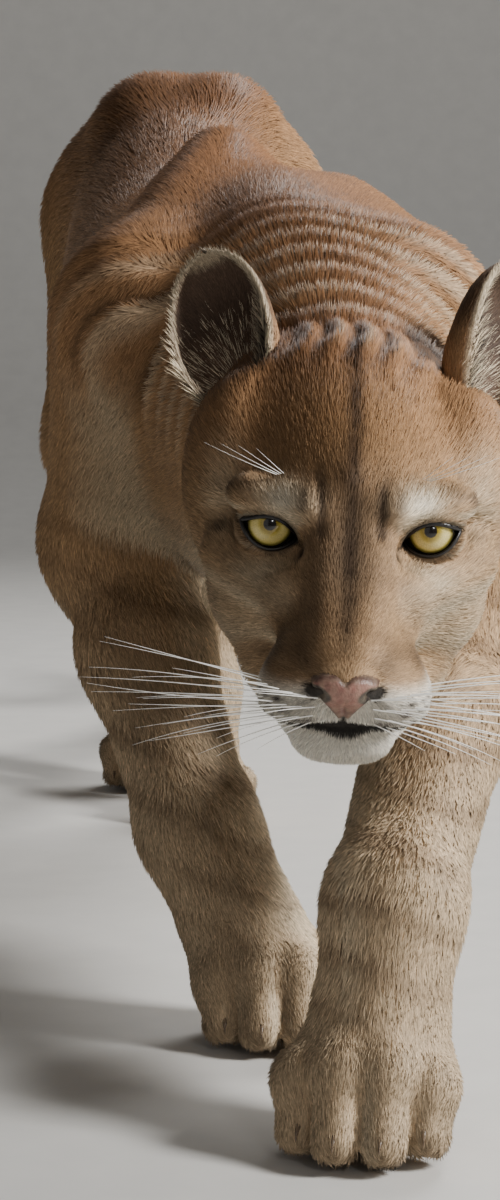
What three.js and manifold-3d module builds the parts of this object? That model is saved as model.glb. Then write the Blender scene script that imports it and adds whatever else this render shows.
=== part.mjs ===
// A life-size cougar, stalking towards the front with its head low and its left forepaw set down ahead.
// Millimetres, +Z up. The animal faces -Y, so its left side is +X. It stands on four small flats at z = 0.
// The coat's outer surface is the surface of every solid. A smooth field of bone and muscle forms gives the
// body, tubes of rings are cast onto that field, and the whole is joined and then parted by thin cuts.
import * as THREE from "three";
import { mergeVertices } from "three/addons/utils/BufferGeometryUtils.js";
import Module from "manifold-3d";

const wasm = await Module();
wasm.setup();

const GAP = 0.3; // left between touching pieces
const at = (x, y, z) => new THREE.Vector3(x, y, z);
const lerp = THREE.MathUtils.lerp;
const degrees = THREE.MathUtils.degToRad;

// Driving sizes: the trunk's stations, with the shoulders at y = 0 before the model is centred.
// Each station has y, the middle's x, the top and bottom heights and the half width.
const TRUNK = [
  { y: -345, x: 46, top: 392, bottom: 268, half: 56 },
  { y: -290, x: 45, top: 418, bottom: 256, half: 70 },
  { y: -210, x: 38, top: 452, bottom: 244, half: 84 },
  { y: -130, x: 28, top: 480, bottom: 238, half: 95 },
  { y: -50, x: 15, top: 498, bottom: 240, half: 102 },
  { y: 40, x: 2, top: 505, bottom: 247, half: 106 },
  { y: 130, x: -13, top: 508, bottom: 257, half: 110 },
  { y: 230, x: -26, top: 516, bottom: 272, half: 110 },
  { y: 330, x: -38, top: 534, bottom: 294, half: 104 },
  { y: 430, x: -47, top: 566, bottom: 324, half: 96 },
  { y: 520, x: -52, top: 598, bottom: 352, half: 92 },
  { y: 600, x: -54, top: 610, bottom: 384, half: 88 },
  { y: 665, x: -56, top: 596, bottom: 424, half: 74 },
  { y: 715, x: -58, top: 574, bottom: 470, half: 52 },
];

// The head's place and turn: the middle between the fronts of the eyes, then its pitch, yaw and tilt.
const HEAD = { at: at(47.5, -400, 302), pitch: 17.5, yaw: -2.3, tilt: 2.6 };
const EYE = { x: 38.5, y: 13, z: 0, radius: 14, lid: 1.8, gape: 15, length: 26, slant: 14 };
const EAR = { base: at(60, 95, 43), tip: at(80, 134, 98), half: 29, wall: 4.5, turnRight: 14, turnLeft: 52 };
const TAIL = {
  path: [
    at(-60, 735, 548),
    at(-64, 800, 508),
    at(-70, 872, 425),
    at(-74, 932, 310),
    at(-72, 996, 200),
    at(-62, 1078, 128),
    at(-44, 1168, 108),
    at(-20, 1246, 138),
  ],
  base: 33,
  middle: 26,
  tip: 24,
};

// Each limb: its joints from the top of the blade or hip down, and where its paw points.
const LIMBS = {
  foreleg_left: {
    front: true,
    blade: at(58, 16, 452),
    joint: at(92, -148, 394),
    elbow: at(124, -142, 244),
    wrist: at(72, -350, 116),
    paw: at(58, -384, 0),
    heading: -9,
  },
  foreleg_right: {
    front: true,
    blade: at(-18, 34, 490),
    joint: at(-66, -108, 402),
    elbow: at(-84, -14, 272),
    wrist: at(-30, -138, 116),
    paw: at(14, -172, 0),
    heading: 4,
  },
  hindleg_left: {
    front: false,
    blade: at(-18, 520, 544),
    joint: at(6, 590, 488),
    elbow: at(10, 448, 330),
    wrist: at(-30, 592, 158),
    paw: at(-38, 520, 0),
    heading: 2,
  },
  hindleg_right: {
    front: false,
    blade: at(-82, 540, 544),
    joint: at(-110, 600, 488),
    elbow: at(-124, 512, 312),
    wrist: at(-98, 738, 176),
    paw: at(-88, 690, 0),
    heading: -3,
  },
};

// Fields: each takes a point and gives about its distance to a form, negative inside.

function smoothMin(a, b, k) {
  const h = Math.max(k - Math.abs(a - b), 0) / k;
  return Math.min(a, b) - (h * h * k) / 4;
}

// A rod between two points with a round end of its own radius at each, thinned along one direction.
function bone(a, b, ra, rb, thin = 1, side = at(1, 0, 0)) {
  const run = b.clone().sub(a);
  const length2 = run.lengthSq();
  const stretch = 1 / thin - 1;
  return (p) => {
    const q = p.clone().sub(a);
    const t = THREE.MathUtils.clamp(q.dot(run) / length2, 0, 1);
    q.addScaledVector(run, -t);
    q.addScaledVector(side, stretch * q.dot(side));
    return (q.length() - lerp(ra, rb, t)) * Math.sqrt(thin);
  };
}

function egg(c, rx, ry, rz) {
  return (p) => {
    const x = p.x - c.x;
    const y = p.y - c.y;
    const z = p.z - c.z;
    const near = Math.hypot(x / rx, y / ry, z / rz);
    const slope = Math.hypot(x / (rx * rx), y / (ry * ry), z / (rz * rz));
    return slope < 1e-9 ? -Math.min(rx, ry, rz) : (near * (near - 1)) / slope;
  };
}

function join(k, forms) {
  return (p) => forms.reduce((d, form) => smoothMin(d, form(p), k), 1e6);
}

// The trunk: ovals that run smoothly from station to station.
function barrel(stations) {
  const curve = (key) => {
    const points = stations.map((s) => new THREE.Vector2(s.y, s[key]));
    return (i, t) => {
      const [a, b, c, d] = [i - 1, i, i + 1, i + 2].map(
        (n) => points[THREE.MathUtils.clamp(n, 0, points.length - 1)],
      );
      const before = ((c.y - a.y) / (c.x - a.x)) * (c.x - b.x);
      const after = ((d.y - b.y) / (d.x - b.x)) * (c.x - b.x);
      const [t2, t3] = [t * t, t * t * t];
      return (
        (2 * t3 - 3 * t2 + 1) * b.y + (t3 - 2 * t2 + t) * before + (3 * t2 - 2 * t3) * c.y + (t3 - t2) * after
      );
    };
  };
  const [middle, top, bottom, half] = ["x", "top", "bottom", "half"].map(curve);
  const [first, last] = [stations[0].y, stations.at(-1).y];
  return (p) => {
    const y = THREE.MathUtils.clamp(p.y, first, last - 1e-6);
    const i = stations.findIndex((s, n) => n + 1 < stations.length && y < stations[n + 1].y);
    const t = (y - stations[i].y) / (stations[i + 1].y - stations[i].y);
    const [high, low] = [top(i, t), bottom(i, t)];
    const [rx, rz] = [half(i, t), (high - low) / 2];
    const near = Math.hypot((p.x - middle(i, t)) / rx, (p.z - (high + low) / 2) / rz);
    const wall = (near - 1) * Math.min(rx, rz);
    const beyond = Math.abs(p.y - y);
    return beyond > 0 ? Math.hypot(Math.max(wall, 0), beyond) + Math.min(wall, 0) : wall;
  };
}

// The head's own frame: x to the animal's left, y back, z up, from the middle between the eyes.
const headTurn = new THREE.Matrix4()
  .makeTranslation(HEAD.at.x, HEAD.at.y, HEAD.at.z)
  .multiply(new THREE.Matrix4().makeRotationZ(degrees(HEAD.yaw)))
  .multiply(new THREE.Matrix4().makeRotationX(degrees(HEAD.pitch)))
  .multiply(new THREE.Matrix4().makeRotationY(degrees(HEAD.tilt)));
const headBack = headTurn.clone().invert();
const onHead = (x, y, z) => at(x, y, z).applyMatrix4(headTurn);

function bothSides(make) {
  return [make(-1), make(1)];
}

const skull = join(14, [
  egg(at(0, 74, 8), 66, 74, 54),
  egg(at(0, 28, 16), 40, 36, 25),
  egg(at(0, 81, -55), 52, 58, 46),
  egg(at(0, 14, -34), 42, 56, 36),
  ...bothSides((s) => egg(at(s * 33, 44, -41), 37, 46, 40)),
  ...bothSides((s) => egg(at(s * 22, 50, -63), 31, 50, 32)),
  ...bothSides((s) => egg(at(s * 55, 70, 2), 29, 42, 50)),
]);
const face = join(9, [
  ...bothSides((s) => bone(at(s * 9, 2, 4), at(s * 6, -60, -33), 15, 12)),
  ...bothSides((s) => bone(at(s * 20, -3, 15), at(s * 48, 14, 14), 8.5, 10)),
  ...bothSides((s) => bone(at(s * 27, -14, -22), at(s * 58, 24, -20), 12, 14)),
  egg(at(0, -42, -47), 35, 38, 26),
  ...bothSides((s) => egg(at(s * 20, -55, -54), 21, 25, 16)),
  ...bothSides((s) => bone(at(s * 11, -50, -78), at(s * 30, 20, -76), 13, 20)),
  egg(at(0, -54, -77), 22, 20, 13),
]);
const nosePad = egg(at(0, -75, -42), 16, 9.5, 10.5);
const sockets = join(4, bothSides((s) => egg(at(s * 38.5, -9, -1), 15, 9, 9.5)));
const headField = (world) => {
  const p = world.clone().applyMatrix4(headBack);
  const solid = smoothMin(smoothMin(skull(p), face(p), 12), nosePad(p), 3);
  return -smoothMin(-solid, sockets(p), 7);
};

// A limb's fields: the blade or haunch that lies on the trunk, and the leg below it.
function limbForms(limb) {
  const { blade, joint, elbow, wrist, paw, front } = limb;
  const out = Math.sign(joint.x - blade.x);
  const heel = paw.clone().setZ(46).lerp(wrist.clone().setZ(46), 0.25);
  const shaft = (from, to, t) => from.clone().lerp(to, t);
  if (front) {
    return {
      root: [
        bone(blade, joint, 29, 46, 0.72),
        bone(shaft(blade, joint, 0.25).add(at(out * 8, 34, -40)), elbow, 44, 36, 0.86),
        bone(joint, elbow, 48, 40, 0.9),
      ],
      shaft: [
        bone(elbow.clone().add(at(0, 22, 6)), shaft(elbow, wrist, 0.45), 28, 22),
        bone(elbow, shaft(elbow, wrist, 0.4), 41, 39, 0.94),
        bone(shaft(elbow, wrist, 0.4), wrist, 39, 33),
        bone(wrist, heel, 33, 37),
      ],
    };
  }
  return {
    root: [
      bone(blade, joint, 50, 66, 0.8),
      bone(joint, elbow, 70, 48, 0.74),
      bone(joint.clone().add(at(0, 48, -30)), shaft(elbow, wrist, 0.25), 50, 38, 0.78),
    ],
    shaft: [
      bone(elbow, shaft(elbow, wrist, 0.35), 47, 40, 0.84),
      bone(shaft(elbow, wrist, 0.3), shaft(elbow, wrist, 0.85), 38, 21, 0.86),
      bone(shaft(elbow, wrist, 0.7).add(at(0, 12, 8)), wrist, 15, 17),
      bone(wrist, shaft(wrist, heel, 0.5), 25, 24, 0.88),
      bone(shaft(wrist, heel, 0.5), heel, 24, 28),
    ],
  };
}

// A paw's toes: how far out, how far forward, half width and height of the knuckle.
const TOES = [
  { out: -30, ahead: 24, half: 13.5, top: 52 },
  { out: -11, ahead: 39, half: 14, top: 58 },
  { out: 11, ahead: 39, half: 14, top: 58 },
  { out: 30, ahead: 23, half: 13.5, top: 51 },
];

function pawForms(limb) {
  const size = limb.front ? 1 : 0.92;
  const turn = degrees(limb.heading);
  const place = (out, ahead, z) =>
    at(
      limb.paw.x + size * (out * Math.cos(turn) + ahead * Math.sin(turn)),
      limb.paw.y + size * (out * Math.sin(turn) - ahead * Math.cos(turn)),
      z * size,
    );
  const knuckle = (toe) => place(toe.out, toe.ahead * 0.55, toe.top - 14);
  const toes = TOES.map((toe) =>
    join(10, [
      bone(place(toe.out * 0.72, -2, 36), knuckle(toe), 15 * size, 15 * size),
      bone(knuckle(toe), place(toe.out, toe.ahead, 16), 15 * size, 13.5 * size),
    ]),
  );
  const palm = join(14, [
    bone(place(-17, -6, 28), place(17, -6, 28), 27 * size, 27 * size),
    bone(place(0, -24, 21), place(0, 6, 28), 24 * size, 28 * size),
  ]);
  return join(5, [palm, ...toes]);
}

// The box round some points, outside which their form has no say.
const boxRound = (points, margin) => new THREE.Box3().setFromPoints(points).expandByScalar(margin);

const limbFields = Object.values(LIMBS).map((limb) => {
  const { root, shaft } = limbForms(limb);
  const joints = [limb.blade, limb.joint, limb.elbow, limb.wrist, limb.paw];
  return {
    root: join(26, root),
    rootBox: boxRound(joints.slice(0, 3), 120),
    leg: join(22, [...root, ...shaft]),
    paw: pawForms(limb),
    box: boxRound(joints, 120),
  };
});
const tailCurve = new THREE.CatmullRomCurve3([at(-54, 640, 540), ...TAIL.path]);
const tailPoints = tailCurve.getSpacedPoints(18);
const tailRadius = (t) =>
  t < 0.5 ? lerp(TAIL.base, TAIL.middle, t * 2) : lerp(TAIL.middle, TAIL.tip, t * 2 - 1);
const tailField = join(
  8,
  tailPoints.slice(1).map((b, i) => bone(tailPoints[i], b, tailRadius(i / 18), tailRadius((i + 1) / 18))),
);
const barrelField = barrel(TRUNK);
function trunkField(p) {
  let d = barrelField(p);
  limbFields.forEach(({ root, rootBox }) => {
    if (rootBox.containsPoint(p)) d = smoothMin(d, root(p), 40);
  });
  if (p.y > 500) d = smoothMin(d, tailField(p), 30);
  return p.y < -180 ? smoothMin(d, headField(p), 30) : d;
}

// The body with its legs, and the same with the paws.
function legsField(p) {
  const joined = (d, { leg, box }) => (box.containsPoint(p) ? smoothMin(d, leg(p), 24) : d);
  return limbFields.reduce(joined, trunkField(p));
}
function bodyField(p) {
  return limbFields.reduce((d, { leg, paw, box }) => {
    return box.containsPoint(p) ? smoothMin(d, smoothMin(leg(p), paw(p), 16), 24) : d;
  }, trunkField(p));
}

// Meshes: rings about a curve, each point cast outwards to where the field ends.

// How far along a ray the field ends, starting inside it.
function reach(field, from, along, most) {
  const step = 4;
  const p = new THREE.Vector3();
  const value = (t) => field(p.copy(from).addScaledVector(along, t));
  let far = step;
  while (far < most && value(far) < 0) far += step;
  let near = far - step;
  for (let i = 0; i < 12; i++) {
    const middle = (near + far) / 2;
    if (value(middle) < 0) near = middle;
    else far = middle;
  }
  return Math.min((near + far) / 2, most);
}

// A closed mesh from rings of equal count, with a fan of triangles over each end.
function ringMesh(rings) {
  const around = rings[0].length;
  const middleOf = (ring) =>
    ring.reduce((sum, p) => sum.add(p), new THREE.Vector3()).divideScalar(around);
  const points = [...rings.flat(), middleOf(rings[0]), middleOf(rings.at(-1))];
  const index = [];
  rings.slice(1).forEach((_, i) => {
    for (let j = 0; j < around; j++) {
      const [a, b] = [i * around + j, i * around + ((j + 1) % around)];
      index.push(a, b, b + around, a, b + around, a + around);
    }
  });
  const last = (rings.length - 1) * around;
  for (let j = 0; j < around; j++) {
    const next = (j + 1) % around;
    index.push(points.length - 2, next, j, points.length - 1, last + j, last + next);
  }
  return new THREE.BufferGeometry().setFromPoints(points).setIndex(index);
}

// A manifold solid from a closed geometry, turned the right way out.
function solid(geometry) {
  const bare = geometry.clone();
  bare.deleteAttribute("normal");
  bare.deleteAttribute("uv");
  const merged = mergeVertices(bare, 1e-4);
  const build = (triVerts) =>
    new wasm.Manifold(
      new wasm.Mesh({ numProp: 3, vertProperties: merged.attributes.position.array, triVerts }),
    );
  const faces = new Uint32Array(merged.index.array);
  const made = build(faces);
  return made.volume() > 0 ? made : build(faces.map((v, i) => faces[i - (i % 3) + ((3 - (i % 3)) % 3)]));
}

// Rays as rings: each has where it starts, its direction and how far the flesh goes along it.
function skinOf(rings, swell = 0) {
  return solid(
    ringMesh(
      rings.map((ring) => ring.map((ray) => ray.from.clone().addScaledVector(ray.along, ray.far + swell))),
    ),
  );
}

// How far the whole body goes along a ray, but never further than `spare` past the piece's own field.
function castRay(from, along, own, spare, most) {
  const free = reach(own, from, along, most);
  return { from, along, far: Math.min(reach(bodyField, from, along, most), free + spare) };
}

// Rings square to a curve, each turned as little as can be from the one before.
function castTube(points, around, own, spare, most) {
  const curve = new THREE.CatmullRomCurve3(points);
  let u = at(1, 0, 0);
  return points.map((point, i) => {
    const tangent = curve.getTangent(i / (points.length - 1));
    u = u.clone().addScaledVector(tangent, -u.dot(tangent)).normalize();
    const v = tangent.clone().cross(u);
    return Array.from({ length: around }, (_, j) => {
      const angle = (2 * Math.PI * j) / around;
      const along = u.clone().multiplyScalar(Math.cos(angle)).addScaledVector(v, Math.sin(angle));
      return castRay(point, along, own, spare, most);
    });
  });
}

function evenly(points, spacing) {
  const curve = new THREE.CatmullRomCurve3(points);
  return curve.getSpacedPoints(Math.max(2, Math.round(curve.getLength() / spacing)));
}

// A block with its middle, size and turn, made larger or smaller all round by `grow`.
function block(middle, size, turn, grow) {
  const geometry = new THREE.BoxGeometry(size.x + 2 * grow, size.y + 2 * grow, size.z + 2 * grow);
  return solid(geometry.applyMatrix4(new THREE.Matrix4().compose(middle, turn, at(1, 1, 1))));
}

const HALF_GAP = GAP / 2;

// A piece in two along a plane, the part beyond the plane first.
function split(piece, point, normal) {
  const offset = normal.dot(point);
  return [
    piece.trimByPlane(normal.toArray(), offset + HALF_GAP),
    piece.trimByPlane(normal.clone().negate().toArray(), -offset + HALF_GAP),
  ];
}

// Fills a grid point wherever flesh would meet itself along one line of the net, until none does.
const FILLED = -0.05;
function fillCrevices(values, count, key) {
  const axes = [[1, 0, 0], [0, 1, 0], [0, 0, 1]];
  const planes = axes.flatMap((u, n) => axes.slice(n + 1).map((v) => [u, v]));
  let filled = true;
  while (filled) {
    filled = false;
    for (let i = 1; i < count[0] - 2; i++) {
      for (let j = 1; j < count[1] - 2; j++) {
        for (let k = 1; k < count[2] - 2; k++) {
          for (const [u, v] of planes) {
            const near = key(i, j, k);
            const across = key(i + u[0] + v[0], j + u[1] + v[1], k + u[2] + v[2]);
            const others = [key(i + u[0], j + u[1], k + u[2]), key(i + v[0], j + v[1], k + v[2])];
            const inside = values[near] < 0;
            if (inside !== values[across] < 0 || inside === values[others[0]] < 0) continue;
            if (values[others[0]] < 0 !== values[others[1]] < 0) continue;
            const [a, b] = inside ? others : [near, across];
            values[values[a] < values[b] ? a : b] = FILLED;
            filled = true;
          }
        }
      }
    }
  }
}

// A net over the field's edge: a point in each cell that the edge crosses, moved onto the edge, and a
// quad round each grid line that it crosses. The outermost layer counts as outside, which closes the net.
function netOf(field, low, high, cell) {
  const count = ["x", "y", "z"].map((k) => Math.ceil((high[k] - low[k]) / cell[k]) + 1);
  const spot = (i, j, k) => at(low.x + i * cell.x, low.y + j * cell.y, low.z + k * cell.z);
  const key = (i, j, k) => (i * count[1] + j) * count[2] + k;
  const rim = (n, axis) => n === 0 || n === count[axis] - 1;
  const values = new Float64Array(count[0] * count[1] * count[2]);
  for (let i = 0; i < count[0]; i++) {
    for (let j = 0; j < count[1]; j++) {
      for (let k = 0; k < count[2]; k++) {
        values[key(i, j, k)] = rim(i, 0) || rim(j, 1) || rim(k, 2) ? 1 : field(spot(i, j, k));
      }
    }
  }
  fillCrevices(values, count, key);
  const corners = Array.from({ length: 8 }, (_, n) => [n & 1, (n >> 1) & 1, (n >> 2) & 1]);
  const sides = corners.flatMap((a, n) =>
    [1, 2, 4].filter((bit) => !(n & bit)).map((bit) => [a, corners[n | bit]]),
  );
  const points = [];
  const ids = new Map();
  for (let i = 0; i < count[0] - 1; i++) {
    for (let j = 0; j < count[1] - 1; j++) {
      for (let k = 0; k < count[2] - 1; k++) {
        const sum = at(0, 0, 0);
        let hits = 0;
        for (const [a, b] of sides) {
          const [va, vb] = [a, b].map((c) => values[key(i + c[0], j + c[1], k + c[2])]);
          if (va < 0 === vb < 0) continue;
          const [start, end] = [a, b].map((c) => spot(i + c[0], j + c[1], k + c[2]));
          sum.add(start.lerp(end, va / (va - vb)));
          hits++;
        }
        if (hits === 0) continue;
        ids.set(key(i, j, k), points.length);
        points.push(sum.divideScalar(hits));
      }
    }
  }
  const normals = points.map((p) => settle(field, p));
  const index = [];
  for (let i = 0; i < count[0] - 1; i++) {
    for (let j = 0; j < count[1] - 1; j++) {
      for (let k = 0; k < count[2] - 1; k++) {
        const here = values[key(i, j, k)] < 0;
        const lines = [
          {
            next: key(i + 1, j, k),
            ring: [key(i, j - 1, k - 1), key(i, j, k - 1), key(i, j, k), key(i, j - 1, k)],
          },
          {
            next: key(i, j + 1, k),
            ring: [key(i - 1, j, k - 1), key(i - 1, j, k), key(i, j, k), key(i, j, k - 1)],
          },
          {
            next: key(i, j, k + 1),
            ring: [key(i - 1, j - 1, k), key(i, j - 1, k), key(i, j, k), key(i - 1, j, k)],
          },
        ];
        for (const { next, ring } of lines) {
          if (here === values[next] < 0) continue;
          const [a, b, c, d] = (here ? ring : ring.toReversed()).map((id) => ids.get(id));
          const flat = points[a].distanceToSquared(points[c]) <= points[b].distanceToSquared(points[d]);
          index.push(...(flat ? [a, b, c, a, c, d] : [a, b, d, b, c, d]));
        }
      }
    }
  }
  return { points, normals, index };
}

// Moves a point onto the field's edge, by no more than half a cell, and gives the way out there.
const SETTLE = { times: 3, most: 6, feel: 0.6 };
function settle(field, p) {
  const normal = at(0, 0, 0);
  for (let n = 0; n < SETTLE.times; n++) {
    ["x", "y", "z"].forEach((k) => {
      const [ahead, behind] = [p.clone(), p.clone()];
      ahead[k] += SETTLE.feel;
      behind[k] -= SETTLE.feel;
      normal[k] = (field(ahead) - field(behind)) / (2 * SETTLE.feel);
    });
    const steep = Math.max(normal.length(), 0.3);
    normal.divideScalar(steep);
    p.addScaledVector(normal, THREE.MathUtils.clamp(-field(p) / steep, -SETTLE.most, SETTLE.most));
  }
  return normal;
}

const netSolid = (net, swell = 0) =>
  solid(
    new THREE.BufferGeometry()
      .setFromPoints(net.points.map((p, i) => p.clone().addScaledVector(net.normals[i], swell)))
      .setIndex(net.index),
  );
const BODY_NET = { low: at(-194, -440, -26), high: at(196, 812, 650), cell: at(20, 25, 22) };
const bodyNet = netOf(legsField, BODY_NET.low, BODY_NET.high, BODY_NET.cell);

const tailEnd = TAIL.path.at(-1).clone().sub(TAIL.path.at(-2)).normalize();
const tailLast = TAIL.path.at(-1).clone().addScaledVector(tailEnd, TAIL.tip * 0.86);
const tailLine = [at(-57, 700, 562), ...TAIL.path, tailLast];
const tail = skinOf(castTube(evenly(tailLine, 27), 11, tailField, 12, 90));

// The head: cones of rays that fan out from behind the eyes, then rings back to the neck.
const FAN = { middle: at(0, 6, -34), first: 5, steps: 24, rings: 6, ringStep: 17, around: 38 };
function headRays() {
  const ringAt = (back, cone) =>
    Array.from({ length: FAN.around }, (_, j) => {
      const angle = (2 * Math.PI * j) / FAN.around;
      const out = Math.sin(cone);
      const start = FAN.middle.clone().add(at(0, back, back * 0.08));
      const along = at(out * Math.sin(angle), -Math.cos(cone), out * Math.cos(angle));
      along.transformDirection(headTurn);
      return castRay(start.applyMatrix4(headTurn), along, headField, 10 + back * 0.5, 160);
    });
  const cones = Array.from({ length: FAN.steps }, (_, i) =>
    ringAt(0, degrees(lerp(FAN.first, 90, i / (FAN.steps - 1)))),
  );
  const tubes = Array.from({ length: FAN.rings }, (_, i) => ringAt((i + 1) * FAN.ringStep, degrees(90)));
  return [...cones, ...tubes];
}
const skullRays = headRays();

// A paw: level rings cast from its middle, from just under the floor to the ankle, the last one sunk.
const PAW_HEIGHTS = [-6, 3, 13, 25, 37, 49, 62];
const PAW_AROUND = 24;
const PAW_SUNK = 0.8;
const paws = Object.values(LIMBS).map((limb, n) => {
  const { leg, paw } = limbFields[n];
  const own = (p) => smoothMin(leg(p), paw(p), 16);
  const core = (z) => at(limb.paw.x, limb.paw.y - 8, z);
  const rings = PAW_HEIGHTS.map((z, i) =>
    Array.from({ length: PAW_AROUND }, (_, j) => {
      const angle = (2 * Math.PI * j) / PAW_AROUND;
      const ray = at(Math.cos(angle), Math.sin(angle), 0);
      const far = Math.max(6, Math.min(reach(own, core(z), ray, 90), reach(paw, core(z), ray, 90) + 14));
      return core(z).addScaledVector(ray, i + 1 < PAW_HEIGHTS.length ? far : far * PAW_SUNK);
    }),
  );
  return solid(ringMesh(rings)).trimByPlane([0, 0, 1], 0);
});

const whole = wasm.Manifold.union([netSolid(bodyNet), ...paws]);

// Where the head and the tail leave the body.
const headSpan = { x: 300, front: -170, back: 90, low: -112, high: 130 };
const headSpin = new THREE.Quaternion().setFromRotationMatrix(headTurn);
const headBlock = (grow) =>
  block(
    onHead(0, (headSpan.front + headSpan.back) / 2, (headSpan.low + headSpan.high) / 2),
    at(headSpan.x, headSpan.back - headSpan.front, headSpan.high - headSpan.low),
    headSpin,
    grow,
  );
const tailNormal = TAIL.path[1].clone().sub(TAIL.path[0]).normalize();
const tailSpin = new THREE.Quaternion().setFromUnitVectors(at(0, 0, 1), tailNormal);
const tailRoot = TAIL.path[0].clone().lerp(TAIL.path[1], 0.35);
const tailInside = tailRoot.clone().addScaledVector(tailNormal, 100 - HALF_GAP);
const tailBlock = block(tailInside, at(96, 96, 200), tailSpin, 0);
let body = whole.subtract(headBlock(HALF_GAP)).subtract(tailBlock);

// Where each leg leaves the body: a slanted block at its root and a level one under the belly.
// Each block runs from its lowest to its highest corner, and the slanted one is turned about its top.
function legRegion(spec, grow) {
  const blocks = spec.map(({ low, high, slope = 0 }) => {
    const turn = new THREE.Quaternion().setFromAxisAngle(at(1, 0, 0), degrees(slope));
    const pivot = at((low.x + high.x) / 2, (low.y + high.y) / 2, high.z);
    const middle = low.clone().add(high).multiplyScalar(0.5).sub(pivot).applyQuaternion(turn).add(pivot);
    return block(middle, high.clone().sub(low), turn, grow);
  });
  return wasm.Manifold.union(blocks);
}
const LEG_BLOCKS = {
  foreleg_left: [
    { low: at(62, -400, -140), high: at(262, -76, 262), slope: 22 },
    { low: at(-24, -470, -40), high: at(262, -238, 234) },
  ],
  foreleg_right: [
    { low: at(-262, -216, -140), high: at(-30, 68, 292), slope: 28 },
    { low: at(-262, -238, -40), high: at(64, 78, 234) },
  ],
  hindleg_left: [
    { low: at(-18, 385, 200), high: at(164, 800, 404) },
    { low: at(-90, 385, -40), high: at(164, 634, 216) },
    { low: at(-58, 385, 200), high: at(164, 720, 300) },
  ],
  hindleg_right: [
    { low: at(-300, 385, 200), high: at(-84, 830, 404) },
    { low: at(-300, 634, -40), high: at(-30, 830, 216) },
    { low: at(-300, 385, 200), high: at(-58, 830, 300) },
  ],
};

// The largest closed surface of a piece, without what a cut leaves over.
function largest(piece) {
  return piece.decompose().reduce((a, b) => (b.volume() > a.volume() ? b : a));
}

const COAT = { tan: 0xb58a5c, pale: 0xd9c3a0, dark: 0x3a2c22, nose: 0x9c6a5c, eye: 0xb08a3c };
const cougar = new THREE.Group();

function addPiece(part, name, colour, roughness = 0.9) {
  const { vertProperties, triVerts, numProp, numVert } = largest(part).getMesh();
  const positions = new Float32Array(numVert * 3);
  for (let i = 0; i < numVert; i++) {
    positions.set(vertProperties.subarray(i * numProp, i * numProp + 3), i * 3);
  }
  const geometry = new THREE.BufferGeometry()
    .setAttribute("position", new THREE.BufferAttribute(positions, 3))
    .setIndex(new THREE.BufferAttribute(triVerts, 1));
  const material = new THREE.MeshStandardMaterial({ color: colour, roughness, metalness: 0 });
  const mesh = new THREE.Mesh(geometry, material);
  mesh.name = name;
  cougar.add(mesh);
}

// Each leg in three: the upper leg, the forearm or shank, and the paw.
const down = at(0, 0, -1);
Object.entries(LIMBS).forEach(([name, limb]) => {
  const { elbow, wrist, paw, front } = limb;
  const leg = largest(body.intersect(legRegion(LEG_BLOCKS[name], -HALF_GAP)));
  body = body.subtract(legRegion(LEG_BLOCKS[name], HALF_GAP));
  const along = wrist.clone().sub(elbow).normalize();
  const ankle = paw.clone().setZ(40);
  const upperCut = elbow.clone().lerp(wrist, front ? 0.26 : 0.24);
  const upperNormal = along.clone().lerp(down, front ? 0.2 : 0.6).normalize();
  const pawCut = wrist.clone().lerp(ankle, front ? 0.42 : 0.3);
  const pawNormal = ankle.clone().sub(wrist).normalize().lerp(down, 0.4).normalize();
  const [lower, upper] = split(leg, upperCut, upperNormal);
  const [foot, shank] = split(lower, pawCut, pawNormal);
  addPiece(upper, `${name}_${front ? "elbow" : "thigh"}`, COAT.tan);
  addPiece(shank, `${name}_${front ? "forearm" : "shank"}`, COAT.tan);
  addPiece(foot, `${name}_paw`, COAT.pale);
});

// The neck, the chest, the loins and the tail in three lengths.
const neckCut = { point: at(0, -190, 370), normal: at(0, 0.945, -0.327) };
const [trunkBack, neck] = split(largest(body), neckCut.point, neckCut.normal);
const [loins, chest] = split(largest(trunkBack), at(0, 250, 400), at(0, 1, 0));
addPiece(neck, "neck", COAT.tan);
addPiece(chest, "torso_chest", COAT.tan);
addPiece(loins, "torso_loins", COAT.tan);

const tailCut = (i) => TAIL.path[i + 1].clone().sub(TAIL.path[i - 1]).normalize();
const tailFree = tail.trimByPlane(tailNormal.toArray(), tailNormal.dot(tailRoot) + HALF_GAP);
const [tailRest, tailBase] = split(tailFree, TAIL.path[2], tailCut(2));
const [tailTip, tailMiddle] = split(tailRest, TAIL.path[5], tailCut(5));
addPiece(tailBase, "tail_base", COAT.tan);
addPiece(tailMiddle, "tail_middle", COAT.tan);
addPiece(tailTip, "tail_tip", COAT.dark);

// The head's small forms, each made in the head's own frame.
const inHead = (geometry) => geometry.applyMatrix4(headTurn);
function ball(middle, radii, detail) {
  const geometry = new THREE.IcosahedronGeometry(1, detail);
  return solid(inHead(geometry.scale(radii.x, radii.y, radii.z).translate(...middle)));
}
const round = (r) => at(r, r, r);

// A prism seen from in front: its outline in x and z, and how far forward and back it goes.
function frontPrism(outline, front, back) {
  const geometry = new THREE.ExtrudeGeometry(new THREE.Shape(outline), {
    depth: back - front,
    bevelEnabled: false,
    steps: 1,
  });
  const turn = new THREE.Matrix4().makeBasis(at(1, 0, 0), at(0, 0, 1), at(0, -1, 0)).setPosition(0, back, 0);
  return solid(inHead(geometry.applyMatrix4(turn)));
}

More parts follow.
